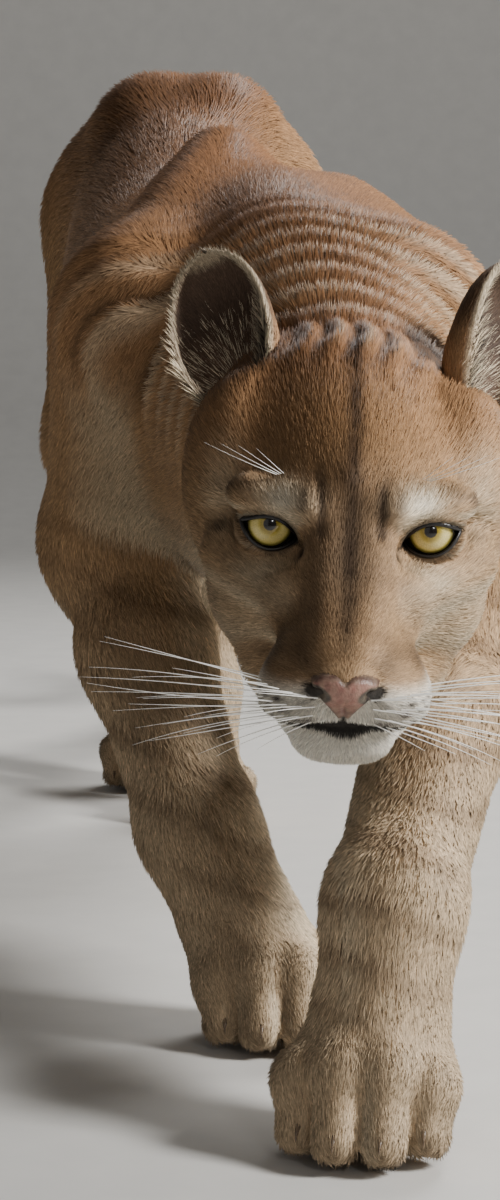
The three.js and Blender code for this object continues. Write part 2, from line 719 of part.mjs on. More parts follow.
// The opening between the lids: an almond, its outer corner the higher.
function almond(side) {
  const steps = 7;
  const slant = degrees(EYE.slant);
  const half = EYE.length / 2;
  const edge = (t, height) => {
    const [x, z] = [lerp(-half, half, t), height * Math.sin(Math.PI * t) ** 0.8];
    const turned = [x * Math.cos(slant) - z * Math.sin(slant), x * Math.sin(slant) + z * Math.cos(slant)];
    return new THREE.Vector2(side * (EYE.x + turned[0]), EYE.z + turned[1]);
  };
  const upper = Array.from({ length: steps }, (_, i) => edge(i / steps, EYE.gape * 0.5));
  const lower = Array.from({ length: steps }, (_, i) => edge(1 - i / steps, -EYE.gape * 0.5));
  return [...upper, ...lower];
}

// The nose pad's outline from in front: broad above, narrow where it meets the lip.
const PAD = { top: -33, low: -56, wide: 16.5, neck: 4.5, front: -120, back: -68 };
function padOutline(grow) {
  const right = [
    [0, PAD.top + grow],
    [PAD.wide * 0.7 + grow, PAD.top - 0.5 + grow],
    [PAD.wide + grow, PAD.top - 5],
    [PAD.wide * 0.8 + grow, PAD.top - 12 - grow],
    [PAD.neck + 2 + grow, PAD.low + 4 - grow],
    [PAD.neck + grow, PAD.low - grow],
  ];
  const left = right.slice(1).reverse().map(([x, z]) => [-x, z]);
  return [...right, ...left].map(([x, z]) => new THREE.Vector2(x, z));
}

// The mouth's line from the side: under the nose, back and down to its corner.
const MOUTH = { front: -62, middle: -65, corner: -72, cornerBack: -21, jawBack: -13, line: 1.3 };
function mouthHeight(back) {
  const t = THREE.MathUtils.clamp((back + 86) / (MOUTH.cornerBack + 86), 0, 1);
  return t < 0.6
    ? lerp(MOUTH.front, MOUTH.middle, t / 0.6)
    : lerp(MOUTH.middle, MOUTH.corner, (t - 0.6) / 0.4);
}
function jawPrism(shift) {
  const backs = [-120, -86, -66, -47, -34, MOUTH.cornerBack, MOUTH.jawBack];
  const line = backs.map((y) => new THREE.Vector2(y + shift, mouthHeight(y) + shift));
  line.push(new THREE.Vector2(MOUTH.jawBack + shift, -150), new THREE.Vector2(-120, -150));
  const settings = { depth: 130, bevelEnabled: false, steps: 1 };
  const geometry = new THREE.ExtrudeGeometry(new THREE.Shape(line), settings);
  const turn = new THREE.Matrix4().makeBasis(at(0, 1, 0), at(0, 0, 1), at(1, 0, 0)).setPosition(-65, 0, 0);
  return solid(inHead(geometry.applyMatrix4(turn)));
}

// A point on the head's surface: outwards from a point in it.
function onSurface(from, along) {
  const start = from.clone().applyMatrix4(headTurn);
  const ray = along.clone().transformDirection(headTurn);
  return from.clone().addScaledVector(along, reach(headField, start, ray, 120));
}

// A groove along a line of points, in the head's frame.
function groove(points, radius, steps) {
  const shape = new THREE.Shape(
    Array.from({ length: 5 }, (_, i) => {
      const angle = (2 * Math.PI * i) / 5;
      return new THREE.Vector2(radius * Math.cos(angle), radius * Math.sin(angle));
    }),
  );
  const extrudePath = new THREE.CatmullRomCurve3(points);
  return solid(inHead(new THREE.ExtrudeGeometry(shape, { steps, bevelEnabled: false, extrudePath })));
}
const lipLine = Array.from({ length: 13 }, (_, i) => {
  const angle = degrees(lerp(-118, 118, i / 12));
  const along = at(Math.sin(angle), -Math.cos(angle), 0);
  let point = onSurface(at(0, -40, MOUTH.middle), along);
  point = onSurface(at(0, -40, mouthHeight(point.y)), along);
  return point;
});
const philtrum = [-54, -58, mouthHeight(-84)].map((z) => onSurface(at(0, -50, z), at(0, -1, 0)));
const lines = groove(lipLine, MOUTH.line, 18).add(groove(philtrum, 1, 3));

let skullPiece = skinOf(skullRays).intersect(headBlock(-HALF_GAP));
[-1, 1].forEach((side) => {
  const middle = at(side * EYE.x, EYE.y, EYE.z);
  const lid = ball(middle, round(EYE.radius + EYE.lid + 0.6), 2);
  const hollow = ball(middle, round(EYE.radius + GAP), 2);
  const opening = frontPrism(almond(side), -40, EYE.y - 2);
  skullPiece = skullPiece.add(lid).subtract(hollow).subtract(opening);
  addPiece(ball(middle, round(EYE.radius), 2), side > 0 ? "eye_left" : "eye_right", COAT.eye, 0.1);
});
const padCut = frontPrism(padOutline(HALF_GAP), PAD.front, PAD.back + HALF_GAP);
const padKeep = frontPrism(padOutline(-HALF_GAP), PAD.front, PAD.back - HALF_GAP);
const nostrils = [-1, 1].map((s) => ball(at(s * 10.5, -82, -44), at(4, 8, 3), 1));
const nosePiece = wasm.Manifold.difference([skullPiece.intersect(padKeep), ...nostrils, lines]);
addPiece(nosePiece, "nose", COAT.nose, 0.5);
skullPiece = skullPiece.subtract(padCut).subtract(lines);
addPiece(skullPiece.intersect(jawPrism(-HALF_GAP)), "lower_jaw", COAT.pale);
addPiece(skullPiece.subtract(jawPrism(HALF_GAP)), "head", COAT.tan);

// An ear: a cupped shell that stands on the skull, its mouth turned forwards and out.
function ear(side, turn) {
  const up = EAR.tip.clone().sub(EAR.base).normalize();
  const facing = at(Math.sin(degrees(turn)), -Math.cos(degrees(turn)), 0);
  facing.addScaledVector(up, -facing.dot(up)).normalize();
  const across = up.clone().cross(facing);
  const [rows, columns] = [8, 8];
  const profile = (t) =>
    t > 0.3 ? Math.sqrt(1 - ((t - 0.3) / 0.705) ** 2.6) : 1 - 0.16 * ((0.3 - t) / 0.3) ** 2;
  const shell = (inset) =>
    Array.from({ length: rows + 1 }, (_, i) => {
      const t = i / rows;
      const radius = Math.max(EAR.half * profile(t) - inset, 1.2);
      const spread = degrees(lerp(112, 84, t));
      const height = EAR.base.distanceTo(EAR.tip) * t - inset * 0.6 * t;
      const middle = EAR.base.clone().addScaledVector(up, height);
      return Array.from({ length: columns + 1 }, (_, j) => {
        const angle = lerp(-spread, spread, j / columns);
        return middle
          .clone()
          .addScaledVector(across, radius * Math.sin(angle))
          .addScaledVector(facing, -0.66 * radius * Math.cos(angle))
          .multiply(at(side, 1, 1));
      });
    });
  const [outer, inner] = [shell(0), shell(EAR.wall)];
  const rings = outer.map((row, i) => [...row, ...inner[i].toReversed()]);
  return solid(inHead(ringMesh(rings)));
}
const headSwollen = skinOf(skullRays, GAP).intersect(headBlock(20));
const neckSwollen = netSolid(bodyNet, 1.5 * GAP);
[-1, 1].forEach((side) => {
  const raw = ear(side, side > 0 ? EAR.turnLeft : EAR.turnRight);
  addPiece(raw.subtract(headSwollen).subtract(neckSwollen), side > 0 ? "ear_left" : "ear_right", COAT.tan);
});

// The origin: the middle of the whole on the floor.
const bounds = new THREE.Box3().setFromObject(cougar);
const centre = bounds.getCenter(new THREE.Vector3());
cougar.position.set(-centre.x, -centre.y, 0);

export default cougar;
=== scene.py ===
"""A life-size cougar: one skin, its short coat, eyes, nose, whiskers and claws, over the modelled solids.

Shapes are worked out in millimetres in the animal's own frame, with the shoulders at y = 0, then moved to
where the solids stand and turned into metres. The coat's outer surface is the solids' surface.
"""

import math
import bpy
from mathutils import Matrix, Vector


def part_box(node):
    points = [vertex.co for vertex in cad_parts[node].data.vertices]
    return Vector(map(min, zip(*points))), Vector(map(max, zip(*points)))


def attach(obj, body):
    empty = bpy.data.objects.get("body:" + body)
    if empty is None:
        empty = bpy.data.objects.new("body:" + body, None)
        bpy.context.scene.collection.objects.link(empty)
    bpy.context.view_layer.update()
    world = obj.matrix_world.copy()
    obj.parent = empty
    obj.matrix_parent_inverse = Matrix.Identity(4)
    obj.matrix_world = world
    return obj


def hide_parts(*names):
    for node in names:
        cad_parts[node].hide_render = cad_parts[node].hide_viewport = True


bl_info = {
    "name": "Stalking Cougar",
    "version": (1, 0, 0),
    "blender": (4, 5, 0),
    "location": "View3D > Sidebar > Cougar",
    "description": "Dresses a life-size cougar in skin, fur, eyes, nose, whiskers and claws",
    "category": "Object",
}

import bpy
from mathutils import Vector
import numpy as np

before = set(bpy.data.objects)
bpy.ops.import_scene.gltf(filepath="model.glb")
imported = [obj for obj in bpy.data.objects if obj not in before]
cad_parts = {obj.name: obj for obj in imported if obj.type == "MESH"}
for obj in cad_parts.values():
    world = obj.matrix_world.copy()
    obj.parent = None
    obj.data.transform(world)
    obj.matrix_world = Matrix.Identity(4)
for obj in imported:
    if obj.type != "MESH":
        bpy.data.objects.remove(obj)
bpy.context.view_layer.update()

MM = 0.001
SEED = 11

# The trunk's stations: y, the middle's x, top, bottom and half width.
TRUNK = np.array(
    [
        (-345, 46, 392, 268, 56),
        (-290, 45, 418, 256, 70),
        (-210, 38, 452, 244, 84),
        (-130, 28, 480, 238, 95),
        (-50, 15, 498, 240, 102),
        (40, 2, 505, 247, 106),
        (130, -13, 508, 257, 110),
        (230, -26, 516, 272, 110),
        (330, -38, 534, 294, 104),
        (430, -47, 566, 324, 96),
        (520, -52, 598, 352, 92),
        (600, -54, 610, 384, 88),
        (665, -56, 596, 424, 74),
        (715, -58, 574, 470, 52),
    ],
    float,
)
HEAD_AT = np.array((47.5, -400.0, 302.0))
HEAD_TURN = {"pitch": 17.5, "yaw": -2.3, "tilt": 2.6}
EYE = {"x": 38.5, "y": 13.0, "z": 0.0, "radius": 14.0}
EAR = {"base": (60, 95, 43), "tip": (80, 134, 98), "half": 29.0, "right": 14.0, "left": 52.0}
TAIL_PATH = np.array(
    [
        (-60, 735, 548),
        (-64, 800, 508),
        (-70, 872, 425),
        (-74, 932, 310),
        (-72, 996, 200),
        (-62, 1078, 128),
        (-44, 1168, 108),
        (-20, 1246, 138),
    ],
    float,
)
TAIL_RADII = {"base": 33.0, "middle": 26.0, "tip": 24.0}
LIMBS = {
    "foreleg_left": {
        "front": True,
        "blade": (58, 16, 452),
        "joint": (92, -148, 394),
        "elbow": (124, -142, 244),
        "wrist": (72, -350, 116),
        "paw": (58, -384, 0),
        "heading": -9,
    },
    "foreleg_right": {
        "front": True,
        "blade": (-18, 34, 490),
        "joint": (-66, -108, 402),
        "elbow": (-84, -14, 272),
        "wrist": (-30, -138, 116),
        "paw": (14, -172, 0),
        "heading": 4,
    },
    "hindleg_left": {
        "front": False,
        "blade": (-18, 520, 544),
        "joint": (6, 590, 488),
        "elbow": (10, 448, 330),
        "wrist": (-30, 592, 158),
        "paw": (-38, 520, 0),
        "heading": 2,
    },
    "hindleg_right": {
        "front": False,
        "blade": (-82, 540, 544),
        "joint": (-110, 600, 488),
        "elbow": (-124, 512, 312),
        "wrist": (-98, 738, 176),
        "paw": (-88, 690, 0),
        "heading": -3,
    },
}
# A paw's toes: how far out, how far ahead and how high the knuckle is.
TOES = ((-30, 24, 52), (-11, 39, 58), (11, 39, 58), (30, 23, 51))
# Behind the first there is only tail, and the tail's own hair and colours start at the second.
HIPS_BACK = 800.0
TAIL_FROM = 760.0
# Below this, in the head's frame, is the throat, and the head's own hair and colours end.
HEAD_LOW = -130.0
# Only what stands ahead of these can belong to the head, the face and the mouth.
AHEAD = {"head": -180.0, "face": -250.0, "mouth": -300.0}


# Fields: each takes points as rows and gives about their distances to a form, negative inside.


def vec(*v):
    return np.array(v, float)


def smooth_min(a, b, k):
    h = np.clip(k - np.abs(a - b), 0, None) / k
    return np.minimum(a, b) - h * h * k / 4


def smooth_max(a, b, k):
    return -smooth_min(-a, -b, k)


def bone(a, b, ra, rb, thin=1.0):
    """A rod with a round end of its own radius at each end, thinned along x."""
    a, b = np.asarray(a, float), np.asarray(b, float)
    run = b - a
    length2 = run @ run

    def field(p):
        q = p - a
        t = np.clip(q @ run / length2, 0, 1)
        q = q - t[:, None] * run
        if thin != 1.0:
            q[:, 0] /= thin
        return (np.sqrt((q * q).sum(1)) - (ra + (rb - ra) * t)) * math.sqrt(thin)

    return field


def egg(c, r):
    """An ellipsoid by its middle and its three radii."""
    c, r = np.asarray(c, float), np.asarray(r, float)

    def field(p):
        q = (p - c) / r
        near = np.sqrt((q * q).sum(1))
        s = q / r
        slope = np.sqrt((s * s).sum(1)) + 1e-9
        return near * (near - 1) / slope

    return field


def join(k, forms):
    """Forms that run into each other over about k millimetres."""

    def field(p):
        out = forms[0](p)
        for form in forms[1:]:
            out = smooth_min(out, form(p), k)
        return out

    return field


def both(make):
    """The same form on the right side and on the left."""
    return [make(-1), make(1)]


def hermite(xs, ys, at):
    """A smooth curve through points, with the slope at each from its neighbours."""
    i = np.clip(np.searchsorted(xs, at, side="right") - 1, 0, len(xs) - 2)
    x0, x1 = xs[i], xs[i + 1]
    before = np.clip(i - 1, 0, None)
    after = np.clip(i + 2, None, len(xs) - 1)
    step = x1 - x0
    m0 = (ys[i + 1] - ys[before]) / (x1 - xs[before]) * step
    m1 = (ys[after] - ys[i]) / (xs[after] - x0) * step
    t = (at - x0) / step
    t2, t3 = t * t, t * t * t
    start, end = (2 * t3 - 3 * t2 + 1) * ys[i], (3 * t2 - 2 * t3) * ys[i + 1]
    return start + (t3 - 2 * t2 + t) * m0 + end + (t3 - t2) * m1


def barrel(p):
    """The trunk: an oval at each station, and a smooth run between them."""
    ys = TRUNK[:, 0]
    y = np.clip(p[:, 1], ys[0], ys[-1] - 1e-6)
    middle, top, bottom, half = (hermite(ys, TRUNK[:, c], y) for c in (1, 2, 3, 4))
    rise = (top - bottom) / 2
    near = np.hypot((p[:, 0] - middle) / half, (p[:, 2] - (top + bottom) / 2) / rise)
    wall = (near - 1) * np.minimum(half, rise)
    beyond = np.abs(p[:, 1] - y)
    return np.where(beyond > 0, np.hypot(np.clip(wall, 0, None), beyond) + np.minimum(wall, 0), wall)


def turn_matrix(axis, degrees):
    c, s = math.cos(math.radians(degrees)), math.sin(math.radians(degrees))
    i, j = {"x": (1, 2), "y": (2, 0), "z": (0, 1)}[axis]
    m = np.eye(3)
    m[i, i] = m[j, j] = c
    m[i, j], m[j, i] = -s, s
    return m


HEAD_SPIN = turn_matrix("z", HEAD_TURN["yaw"]) @ turn_matrix("x", HEAD_TURN["pitch"])
HEAD_SPIN = HEAD_SPIN @ turn_matrix("y", HEAD_TURN["tilt"])


def to_head(p):
    return (p - HEAD_AT) @ HEAD_SPIN


def from_head(q):
    return np.asarray(q, float) @ HEAD_SPIN.T + HEAD_AT


skull = join(
    14,
    [
        egg((0, 74, 8), (66, 74, 54)),
        egg((0, 28, 16), (40, 36, 25)),
        egg((0, 81, -55), (52, 58, 46)),
        egg((0, 14, -34), (42, 56, 36)),
        *both(lambda s: egg((s * 33, 44, -41), (37, 46, 40))),
        *both(lambda s: egg((s * 22, 50, -63), (31, 50, 32))),
        *both(lambda s: egg((s * 55, 70, 2), (29, 42, 50))),
    ],
)
face = join(
    9,
    [
        *both(lambda s: bone((s * 9, 2, 4), (s * 6, -60, -33), 15, 12)),
        *both(lambda s: bone((s * 20, -3, 15), (s * 48, 14, 14), 8.5, 10)),
        *both(lambda s: bone((s * 27, -14, -22), (s * 58, 24, -20), 12, 14)),
        egg((0, -42, -47), (35, 38, 26)),
        *both(lambda s: egg((s * 20, -55, -54), (21, 25, 16))),
        *both(lambda s: bone((s * 11, -50, -78), (s * 30, 20, -76), 13, 20)),
        egg((0, -54, -77), (22, 20, 13)),
    ],
)
nose_pad = egg((0, -75, -42), (16, 9.5, 10.5))
sockets = join(4, both(lambda s: egg((s * 38.5, -9, -1), (15, 9, 9.5))))


def mix(a, b, t):
    return a + (b - a) * t


def head_in_own_frame(q):
    solid = smooth_min(smooth_min(skull(q), face(q), 12), nose_pad(q), 3)
    return -smooth_min(-solid, sockets(q), 7)


def limb_forms(limb):
    """The blade or haunch that lies on the trunk, and the leg below it."""
    blade, joint, elbow, wrist, paw = (vec(*limb[k]) for k in ("blade", "joint", "elbow", "wrist", "paw"))
    out = math.copysign(1, joint[0] - blade[0])
    heel = mix(vec(paw[0], paw[1], 46), vec(wrist[0], wrist[1], 46), 0.25)
    if limb["front"]:
        root = [
            bone(blade, joint, 29, 46, 0.72),
            bone(mix(blade, joint, 0.25) + vec(out * 8, 34, -40), elbow, 44, 36, 0.86),
            bone(joint, elbow, 48, 40, 0.9),
        ]
        shaft = [
            bone(elbow + vec(0, 22, 6), mix(elbow, wrist, 0.45), 28, 22),
            bone(elbow, mix(elbow, wrist, 0.4), 41, 39, 0.94),
            bone(mix(elbow, wrist, 0.4), wrist, 39, 33),
            bone(wrist, heel, 33, 37),
        ]
        return root, shaft
    root = [
        bone(blade, joint, 50, 66, 0.8),
        bone(joint, elbow, 70, 48, 0.74),
        bone(joint + vec(0, 48, -30), mix(elbow, wrist, 0.25), 50, 38, 0.78),
    ]
    shaft = [
        bone(elbow, mix(elbow, wrist, 0.35), 47, 40, 0.84),
        bone(mix(elbow, wrist, 0.3), mix(elbow, wrist, 0.85), 38, 21, 0.86),
        bone(mix(elbow, wrist, 0.7) + vec(0, 12, 8), wrist, 15, 17),
        bone(wrist, mix(wrist, heel, 0.5), 25, 24, 0.88),
        bone(mix(wrist, heel, 0.5), heel, 24, 28),
    ]
    return root, shaft


def paw_place(limb):
    """A function that puts a place measured on the paw, out and ahead of its middle, where the paw stands."""
    size = 1.0 if limb["front"] else 0.92
    turn = math.radians(limb["heading"])
    px, py, _ = limb["paw"]

    def place(out, ahead, z):
        return vec(
            px + size * (out * math.cos(turn) + ahead * math.sin(turn)),
            py + size * (out * math.sin(turn) - ahead * math.cos(turn)),
            z * size,
        )

    return place, size


def paw_forms(limb, toe_join=10, palm_join=5):
    place, size = paw_place(limb)
    toes = [
        join(
            toe_join,
            [
                bone(place(out * 0.72, -2, 36), place(out, ahead * 0.55, top - 14), 15 * size, 15 * size),
                bone(place(out, ahead * 0.55, top - 14), place(out, ahead, 16), 15 * size, 13.5 * size),
            ],
        )
        for out, ahead, top in TOES
    ]
    palm = join(
        14,
        [
            bone(place(-17, -6, 28), place(17, -6, 28), 27 * size, 27 * size),
            bone(place(0, -24, 21), place(0, 6, 28), 24 * size, 28 * size),
        ],
    )
    return join(palm_join, [palm, *toes])


def spline(points, count):
    """Evenly spaced points on a centripetal curve through the given ones, which start and end it."""
    pts = np.vstack([2 * points[0] - points[1], points, 2 * points[-1] - points[-2]])
    dense = []
    for i in range(1, len(pts) - 2):
        p0, p1, p2, p3 = pts[i - 1 : i + 3]
        t1 = np.linalg.norm(p1 - p0) ** 0.5
        t2 = t1 + np.linalg.norm(p2 - p1) ** 0.5
        t3 = t2 + np.linalg.norm(p3 - p2) ** 0.5
        t = np.linspace(t1, t2, 41)[:, None]
        a1 = (t1 - t) / t1 * p0 + t / t1 * p1
        a2 = (t2 - t) / (t2 - t1) * p1 + (t - t1) / (t2 - t1) * p2
        a3 = (t3 - t) / (t3 - t2) * p2 + (t - t2) / (t3 - t2) * p3
        b1 = (t2 - t) / t2 * a1 + t / t2 * a2
        b2 = (t3 - t) / (t3 - t1) * a2 + (t - t1) / (t3 - t1) * a3
        dense.append(((t2 - t) / (t2 - t1) * b1 + (t - t1) / (t2 - t1) * b2)[:-1])
    dense = np.vstack([*dense, points[-1]])
    run = np.concatenate([[0], np.cumsum(np.linalg.norm(np.diff(dense, axis=0), axis=1))])
    even = np.linspace(0, run[-1], count)
    return np.stack([np.interp(even, run, dense[:, c]) for c in range(3)], 1)


tail_points = spline(np.vstack([(-54, 640, 540), TAIL_PATH]), 19)


def tail_radius(t):
    return np.interp(t, (0, 0.5, 1), (TAIL_RADII["base"], TAIL_RADII["middle"], TAIL_RADII["tip"]))


tail_form = join(
    8,
    [
        bone(tail_points[i], tail_points[i + 1], tail_radius(i / 18), tail_radius((i + 1) / 18))
        for i in range(len(tail_points) - 1)
    ],
)


class Region:
    """A form and the box outside which it has no say."""

    def __init__(self, form, points, margin):
        self.form = form
        points = np.asarray(points, float)
        self.low, self.high = points.min(0) - margin, points.max(0) + margin

    def inside(self, p):
        return ((p > self.low) & (p < self.high)).all(1)

    def merge(self, out, p, k):
        near = self.inside(p)
        if near.any():
            out[near] = smooth_min(out[near], self.form(p[near]), k)


def limb_regions():
    roots, legs = [], []
    for limb in LIMBS.values():
        root, shaft = limb_forms(limb)
        paw = paw_forms(limb)
        leg = join(22, [*root, *shaft])
        joints = [limb[k] for k in ("blade", "joint", "elbow", "wrist", "paw")]
        roots.append(Region(join(26, root), joints[:3], 120))
        legs.append(Region(lambda p, leg=leg, paw=paw: smooth_min(leg(p), paw(p), 16), joints, 120))
    return roots, legs


ROOTS, LEGS = limb_regions()
HEAD_REGION = Region(
    lambda p: head_in_own_frame(to_head(p)),
    [from_head(c) for c in ((-70, -90, -95), (70, -90, -95), (0, 150, 60), (-70, 150, -100), (70, 150, 60))],
    45,
)
TAIL_REGION = Region(tail_form, tail_points, 75)


def body_field(p):
    """The whole animal, as the solids have it."""
    out = barrel(p)
    for root in ROOTS:
        root.merge(out, p, 40)
    TAIL_REGION.merge(out, p, 30)
    HEAD_REGION.merge(out, p, 30)
    for leg in LEGS:
        leg.merge(out, p, 24)
    return out


def eye_middle(side=1):
    return vec(side * EYE["x"], EYE["y"], EYE["z"])


# How far the solids stand from the animal's own frame, read off an eyeball's box.
eye_box = np.array(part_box("eye_left"))
SHIFT = eye_box.mean(0) / MM - from_head(eye_middle()[None])[0]


# Meshing: a net of quads over the cells that a field's edge passes through.

# How many points of a grid are worked out at once.
BATCH = 200000


def sampled(field, low, high, step, coarse=3):
    """The field on a grid, worked out in full only near where it changes sign."""
    low = np.asarray(low, float)
    counts = np.ceil((np.asarray(high, float) - low) / (step * coarse)).astype(int) + 1
    axes = [low[i] + step * coarse * np.arange(counts[i]) for i in range(3)]
    grid = np.stack(np.meshgrid(*axes, indexing="ij"), -1).reshape(-1, 3)
    rough = field(grid).reshape(counts).astype(np.float32)
    fine = rough.repeat(coarse, 0).repeat(coarse, 1).repeat(coarse, 2)
    shift = coarse // 2
    fine = fine[shift:, shift:, shift:]
    near = np.argwhere(np.abs(fine) < 1.7 * step * coarse)
    batches = np.array_split(near, len(near) // BATCH + 1)
    values = np.concatenate([field(low + step * batch) for batch in batches])
    fine[near[:, 0], near[:, 1], near[:, 2]] = values
    return fine, low


CORNERS = np.array([(i, j, k) for i in (0, 1) for j in (0, 1) for k in (0, 1)])
EDGES = [(a, b) for a in range(8) for b in range(a + 1, 8) if np.abs(CORNERS[a] - CORNERS[b]).sum() == 1]


def net(values, low, step):
    """One point in each cell that the edge crosses, and a quad round each grid line that it crosses."""
    inside = values < 0
    nx, ny, nz = values.shape
    count = sum(inside[i : nx - 1 + i, j : ny - 1 + j, k : nz - 1 + k].astype(np.int8) for i, j, k in CORNERS)
    active = (count > 0) & (count < 8)
    cells = np.argwhere(active)
    ids = np.full(active.shape, -1, np.int32)
    ids[active] = np.arange(len(cells))
    total = np.zeros((len(cells), 3))
    hits = np.zeros(len(cells))
    for a, b in EDGES:
        va = values[tuple((cells + CORNERS[a]).T)]
        vb = values[tuple((cells + CORNERS[b]).T)]
        crossing = (va < 0) != (vb < 0)
        t = np.where(crossing, va / np.where(crossing, va - vb, 1), 0)
        point = CORNERS[a] + t[:, None] * (CORNERS[b] - CORNERS[a])
        total += point * crossing[:, None]
        hits += crossing
    points = low + step * (cells + total / hits[:, None])
    quads = []
    for axis in range(3):
        others = [(axis + 1) % 3, (axis + 2) % 3]
        first = [slice(None)] * 3
        second = [slice(None)] * 3
        first[axis], second[axis] = slice(0, -1), slice(1, None)
        for other in others:
            first[other] = second[other] = slice(1, -1)
        start, end = inside[tuple(first)], inside[tuple(second)]
        edges = np.argwhere(start != end)
        outward = start[tuple(edges.T)]
        base = edges.copy()
        base[:, others] += 1
        ring = []
        for da, db in ((-1, -1), (0, -1), (0, 0), (-1, 0)):
            cell = base.copy()
            cell[:, others[0]] += da
            cell[:, others[1]] += db
            ring.append(ids[tuple(cell.T)])
        ring = np.stack(ring, 1)
        quads.append(np.where(outward[:, None], ring, ring[:, ::-1]))
    return points, np.concatenate(quads)


def slope(field, p, d=0.4):
    """The outward direction of a field at each point, and its steepness."""
    g = np.stack([field(p + d * e) - field(p - d * e) for e in np.eye(3)], 1) / (2 * d)
    steep = np.linalg.norm(g, axis=1) + 1e-9
    return g / steep[:, None], steep


def settle(field, p, times=2, most=1.5):
    """Points moved onto the field's edge."""
    for _ in range(times):
        n, steep = slope(field, p)
        p = p - n * np.clip(field(p) / steep, -most, most)[:, None]
    return p


# How deep the coat is, so how far the skin lies under the solids' surface.

DEPTHS = {"body": 6.0, "neck": 4.2, "leg": 4.0, "paw": 2.6, "crown": 3.4, "face": 1.7}
FLOOR_GAP = 0.5


def ramp(x, a, b):
    """A soft step from 0 at a to 1 at b."""
    t = np.clip((x - a) / (b - a), 0, 1)
    return t * t * (3 - 2 * t)


def coat_depth(p):
    q = to_head(p)
    body = DEPTHS["body"] + (DEPTHS["neck"] - DEPTHS["body"]) * ramp(p[:, 1], 120, -40)
    legs = ramp(p[:, 2], 320, 110)
    body = body + (DEPTHS["leg"] - body) * legs * (p[:, 1] < HIPS_BACK)
    body = body + (DEPTHS["paw"] - body) * ramp(p[:, 2], 90, 45) * (p[:, 1] < HIPS_BACK)
    head = ramp(q[:, 1], 150, 70) * (p[:, 1] < AHEAD["head"]) * (q[:, 2] > HEAD_LOW)
    body = body + (DEPTHS["crown"] - body) * head
    front = ramp(q[:, 1], 60, 0) * (q[:, 2] > -125) * (p[:, 1] < AHEAD["face"])
    return body + (DEPTHS["face"] - body) * front


# The folds over the neck, and the finer ridges on the crown: millimetres from one to the next, and height.
FOLDS = {"period": 25.0, "height": 3.6, "crown_period": 15.0, "crown_height": 2.4}


def neck_folds(p):
    """Loose skin that lies in shallow folds over the neck and behind the crown."""
    q = to_head(p)
    along = q[:, 1] + 0.10 * q[:, 2] + 6 * np.sin(q[:, 0] / 31)
    place = ramp(along, 104, 140) * ramp(along, 330, 230) * ramp(q[:, 2], -50, 10)
    turn = 2 * math.pi * along / FOLDS["period"] + 1.1 * np.sin(q[:, 0] / 37 + along / 60)
    wave = np.sin(turn + 0.7 * np.sin(q[:, 0] / 15 + along / 33))
    ridges = np.sin(2 * math.pi * (q[:, 0] + 3 * np.sin(along / 9)) / FOLDS["crown_period"])
    crown = np.exp(-(((q[:, 0] - 2) / 34) ** 2) - ((along - 96) / 20) ** 2) * ridges
    wave = wave * (0.8 + 0.2 * np.sin(q[:, 0] / 24 + along / 40))
    return place * FOLDS["height"] * wave + FOLDS["crown_height"] * crown * ramp(q[:, 2], 0, 30)


def on_neck(p):
    """Where the folds can be."""
    return (p[:, 1] < 80) & (p[:, 2] > 250)


def skin_field(p):
    """The skin: the body less the coat's depth, with the folds, cut off just over the floor."""
    f = body_field(p) + coat_depth(p)
    near = on_neck(p)
    if near.any():
        f[near] -= neck_folds(p[near])
    return np.maximum(f, FLOOR_GAP - p[:, 2])


# The head's finer forms, in the head's own frame.

MOUTH = {"front": -62.0, "middle": -65.0, "corner": -72.0, "start": -86.0, "corner_back": -21.0}


def mouth_height(y):
    """How high the line of the mouth lies on its way back from the front."""
    t = np.clip((y - MOUTH["start"]) / (MOUTH["corner_back"] - MOUTH["start"]), 0, 1)
    return np.interp(t, (0, 0.6, 1), (MOUTH["front"], MOUTH["middle"], MOUTH["corner"]))


def outermost(start, along, most=130.0, under=0.0):
    """Where a ray from inside the head leaves it, or stops just under its surface."""
    start, along = np.atleast_2d(start).astype(float), np.atleast_2d(along).astype(float)
    near, far = np.zeros(len(start)), np.full(len(start), 4.0)
    while True:
        out = head_in_own_frame(start + along * far[:, None]) > 0
        if out.all() or far.max() > most:
            break
        near = np.where(out, near, far)
        far = np.where(out, far, far + 2.0)
    for _ in range(14):
        middle = (near + far) / 2
        out = head_in_own_frame(start + along * middle[:, None]) > 0
        near, far = np.where(out, near, middle), np.where(out, middle, far)
    return start + along * (near - under)[:, None]


def lip_line(count=41):
    """The line between the lips, just under the skin."""
    angle = np.radians(np.linspace(-118, 118, count))
    along = np.stack([np.sin(angle), -np.cos(angle), np.zeros(count)], 1)
    start = np.tile(vec(0, -40, MOUTH["middle"]), (count, 1))
    for _ in range(3):
        points = outermost(start, along)
        start[:, 2] = mouth_height(points[:, 1])
    return outermost(start, along, under=DEPTHS["face"] + 0.2)


LIPS = lip_line()


def from_line(q, line):
    """The distance to a line of points."""
    best = np.full(len(q), 1e3)
    for a, b in zip(line[:-1], line[1:]):
        run = b - a
        t = np.clip((q - a) @ run / (run @ run), 0, 1)
        best = np.minimum(best, np.linalg.norm(q - a - t[:, None] * run, axis=1))
    return best


PHILTRUM = np.array([outermost((0, -50, z), (0, -1, 0), under=1.9)[0] for z in (-55, -58, -62)])


# Ridges and creases of the face: depth, where a ridge is below 0, width, and its line on the left side.
FACE_LINES = (
    (-1.2, 5.0, ((20, -14, 16), (34, -10, 15), (50, 4, 11))),
    (-2.2, 8.0, ((50, 6, 18), (58, 18, 14), (64, 34, 6))),
    (1.1, 2.2, ((26, -12, -12), (36, -14, -17), (48, -6, -15))),
    (1.1, 2.6, ((13, -18, 6), (15, -8, 24), (18, 2, 34))),
)


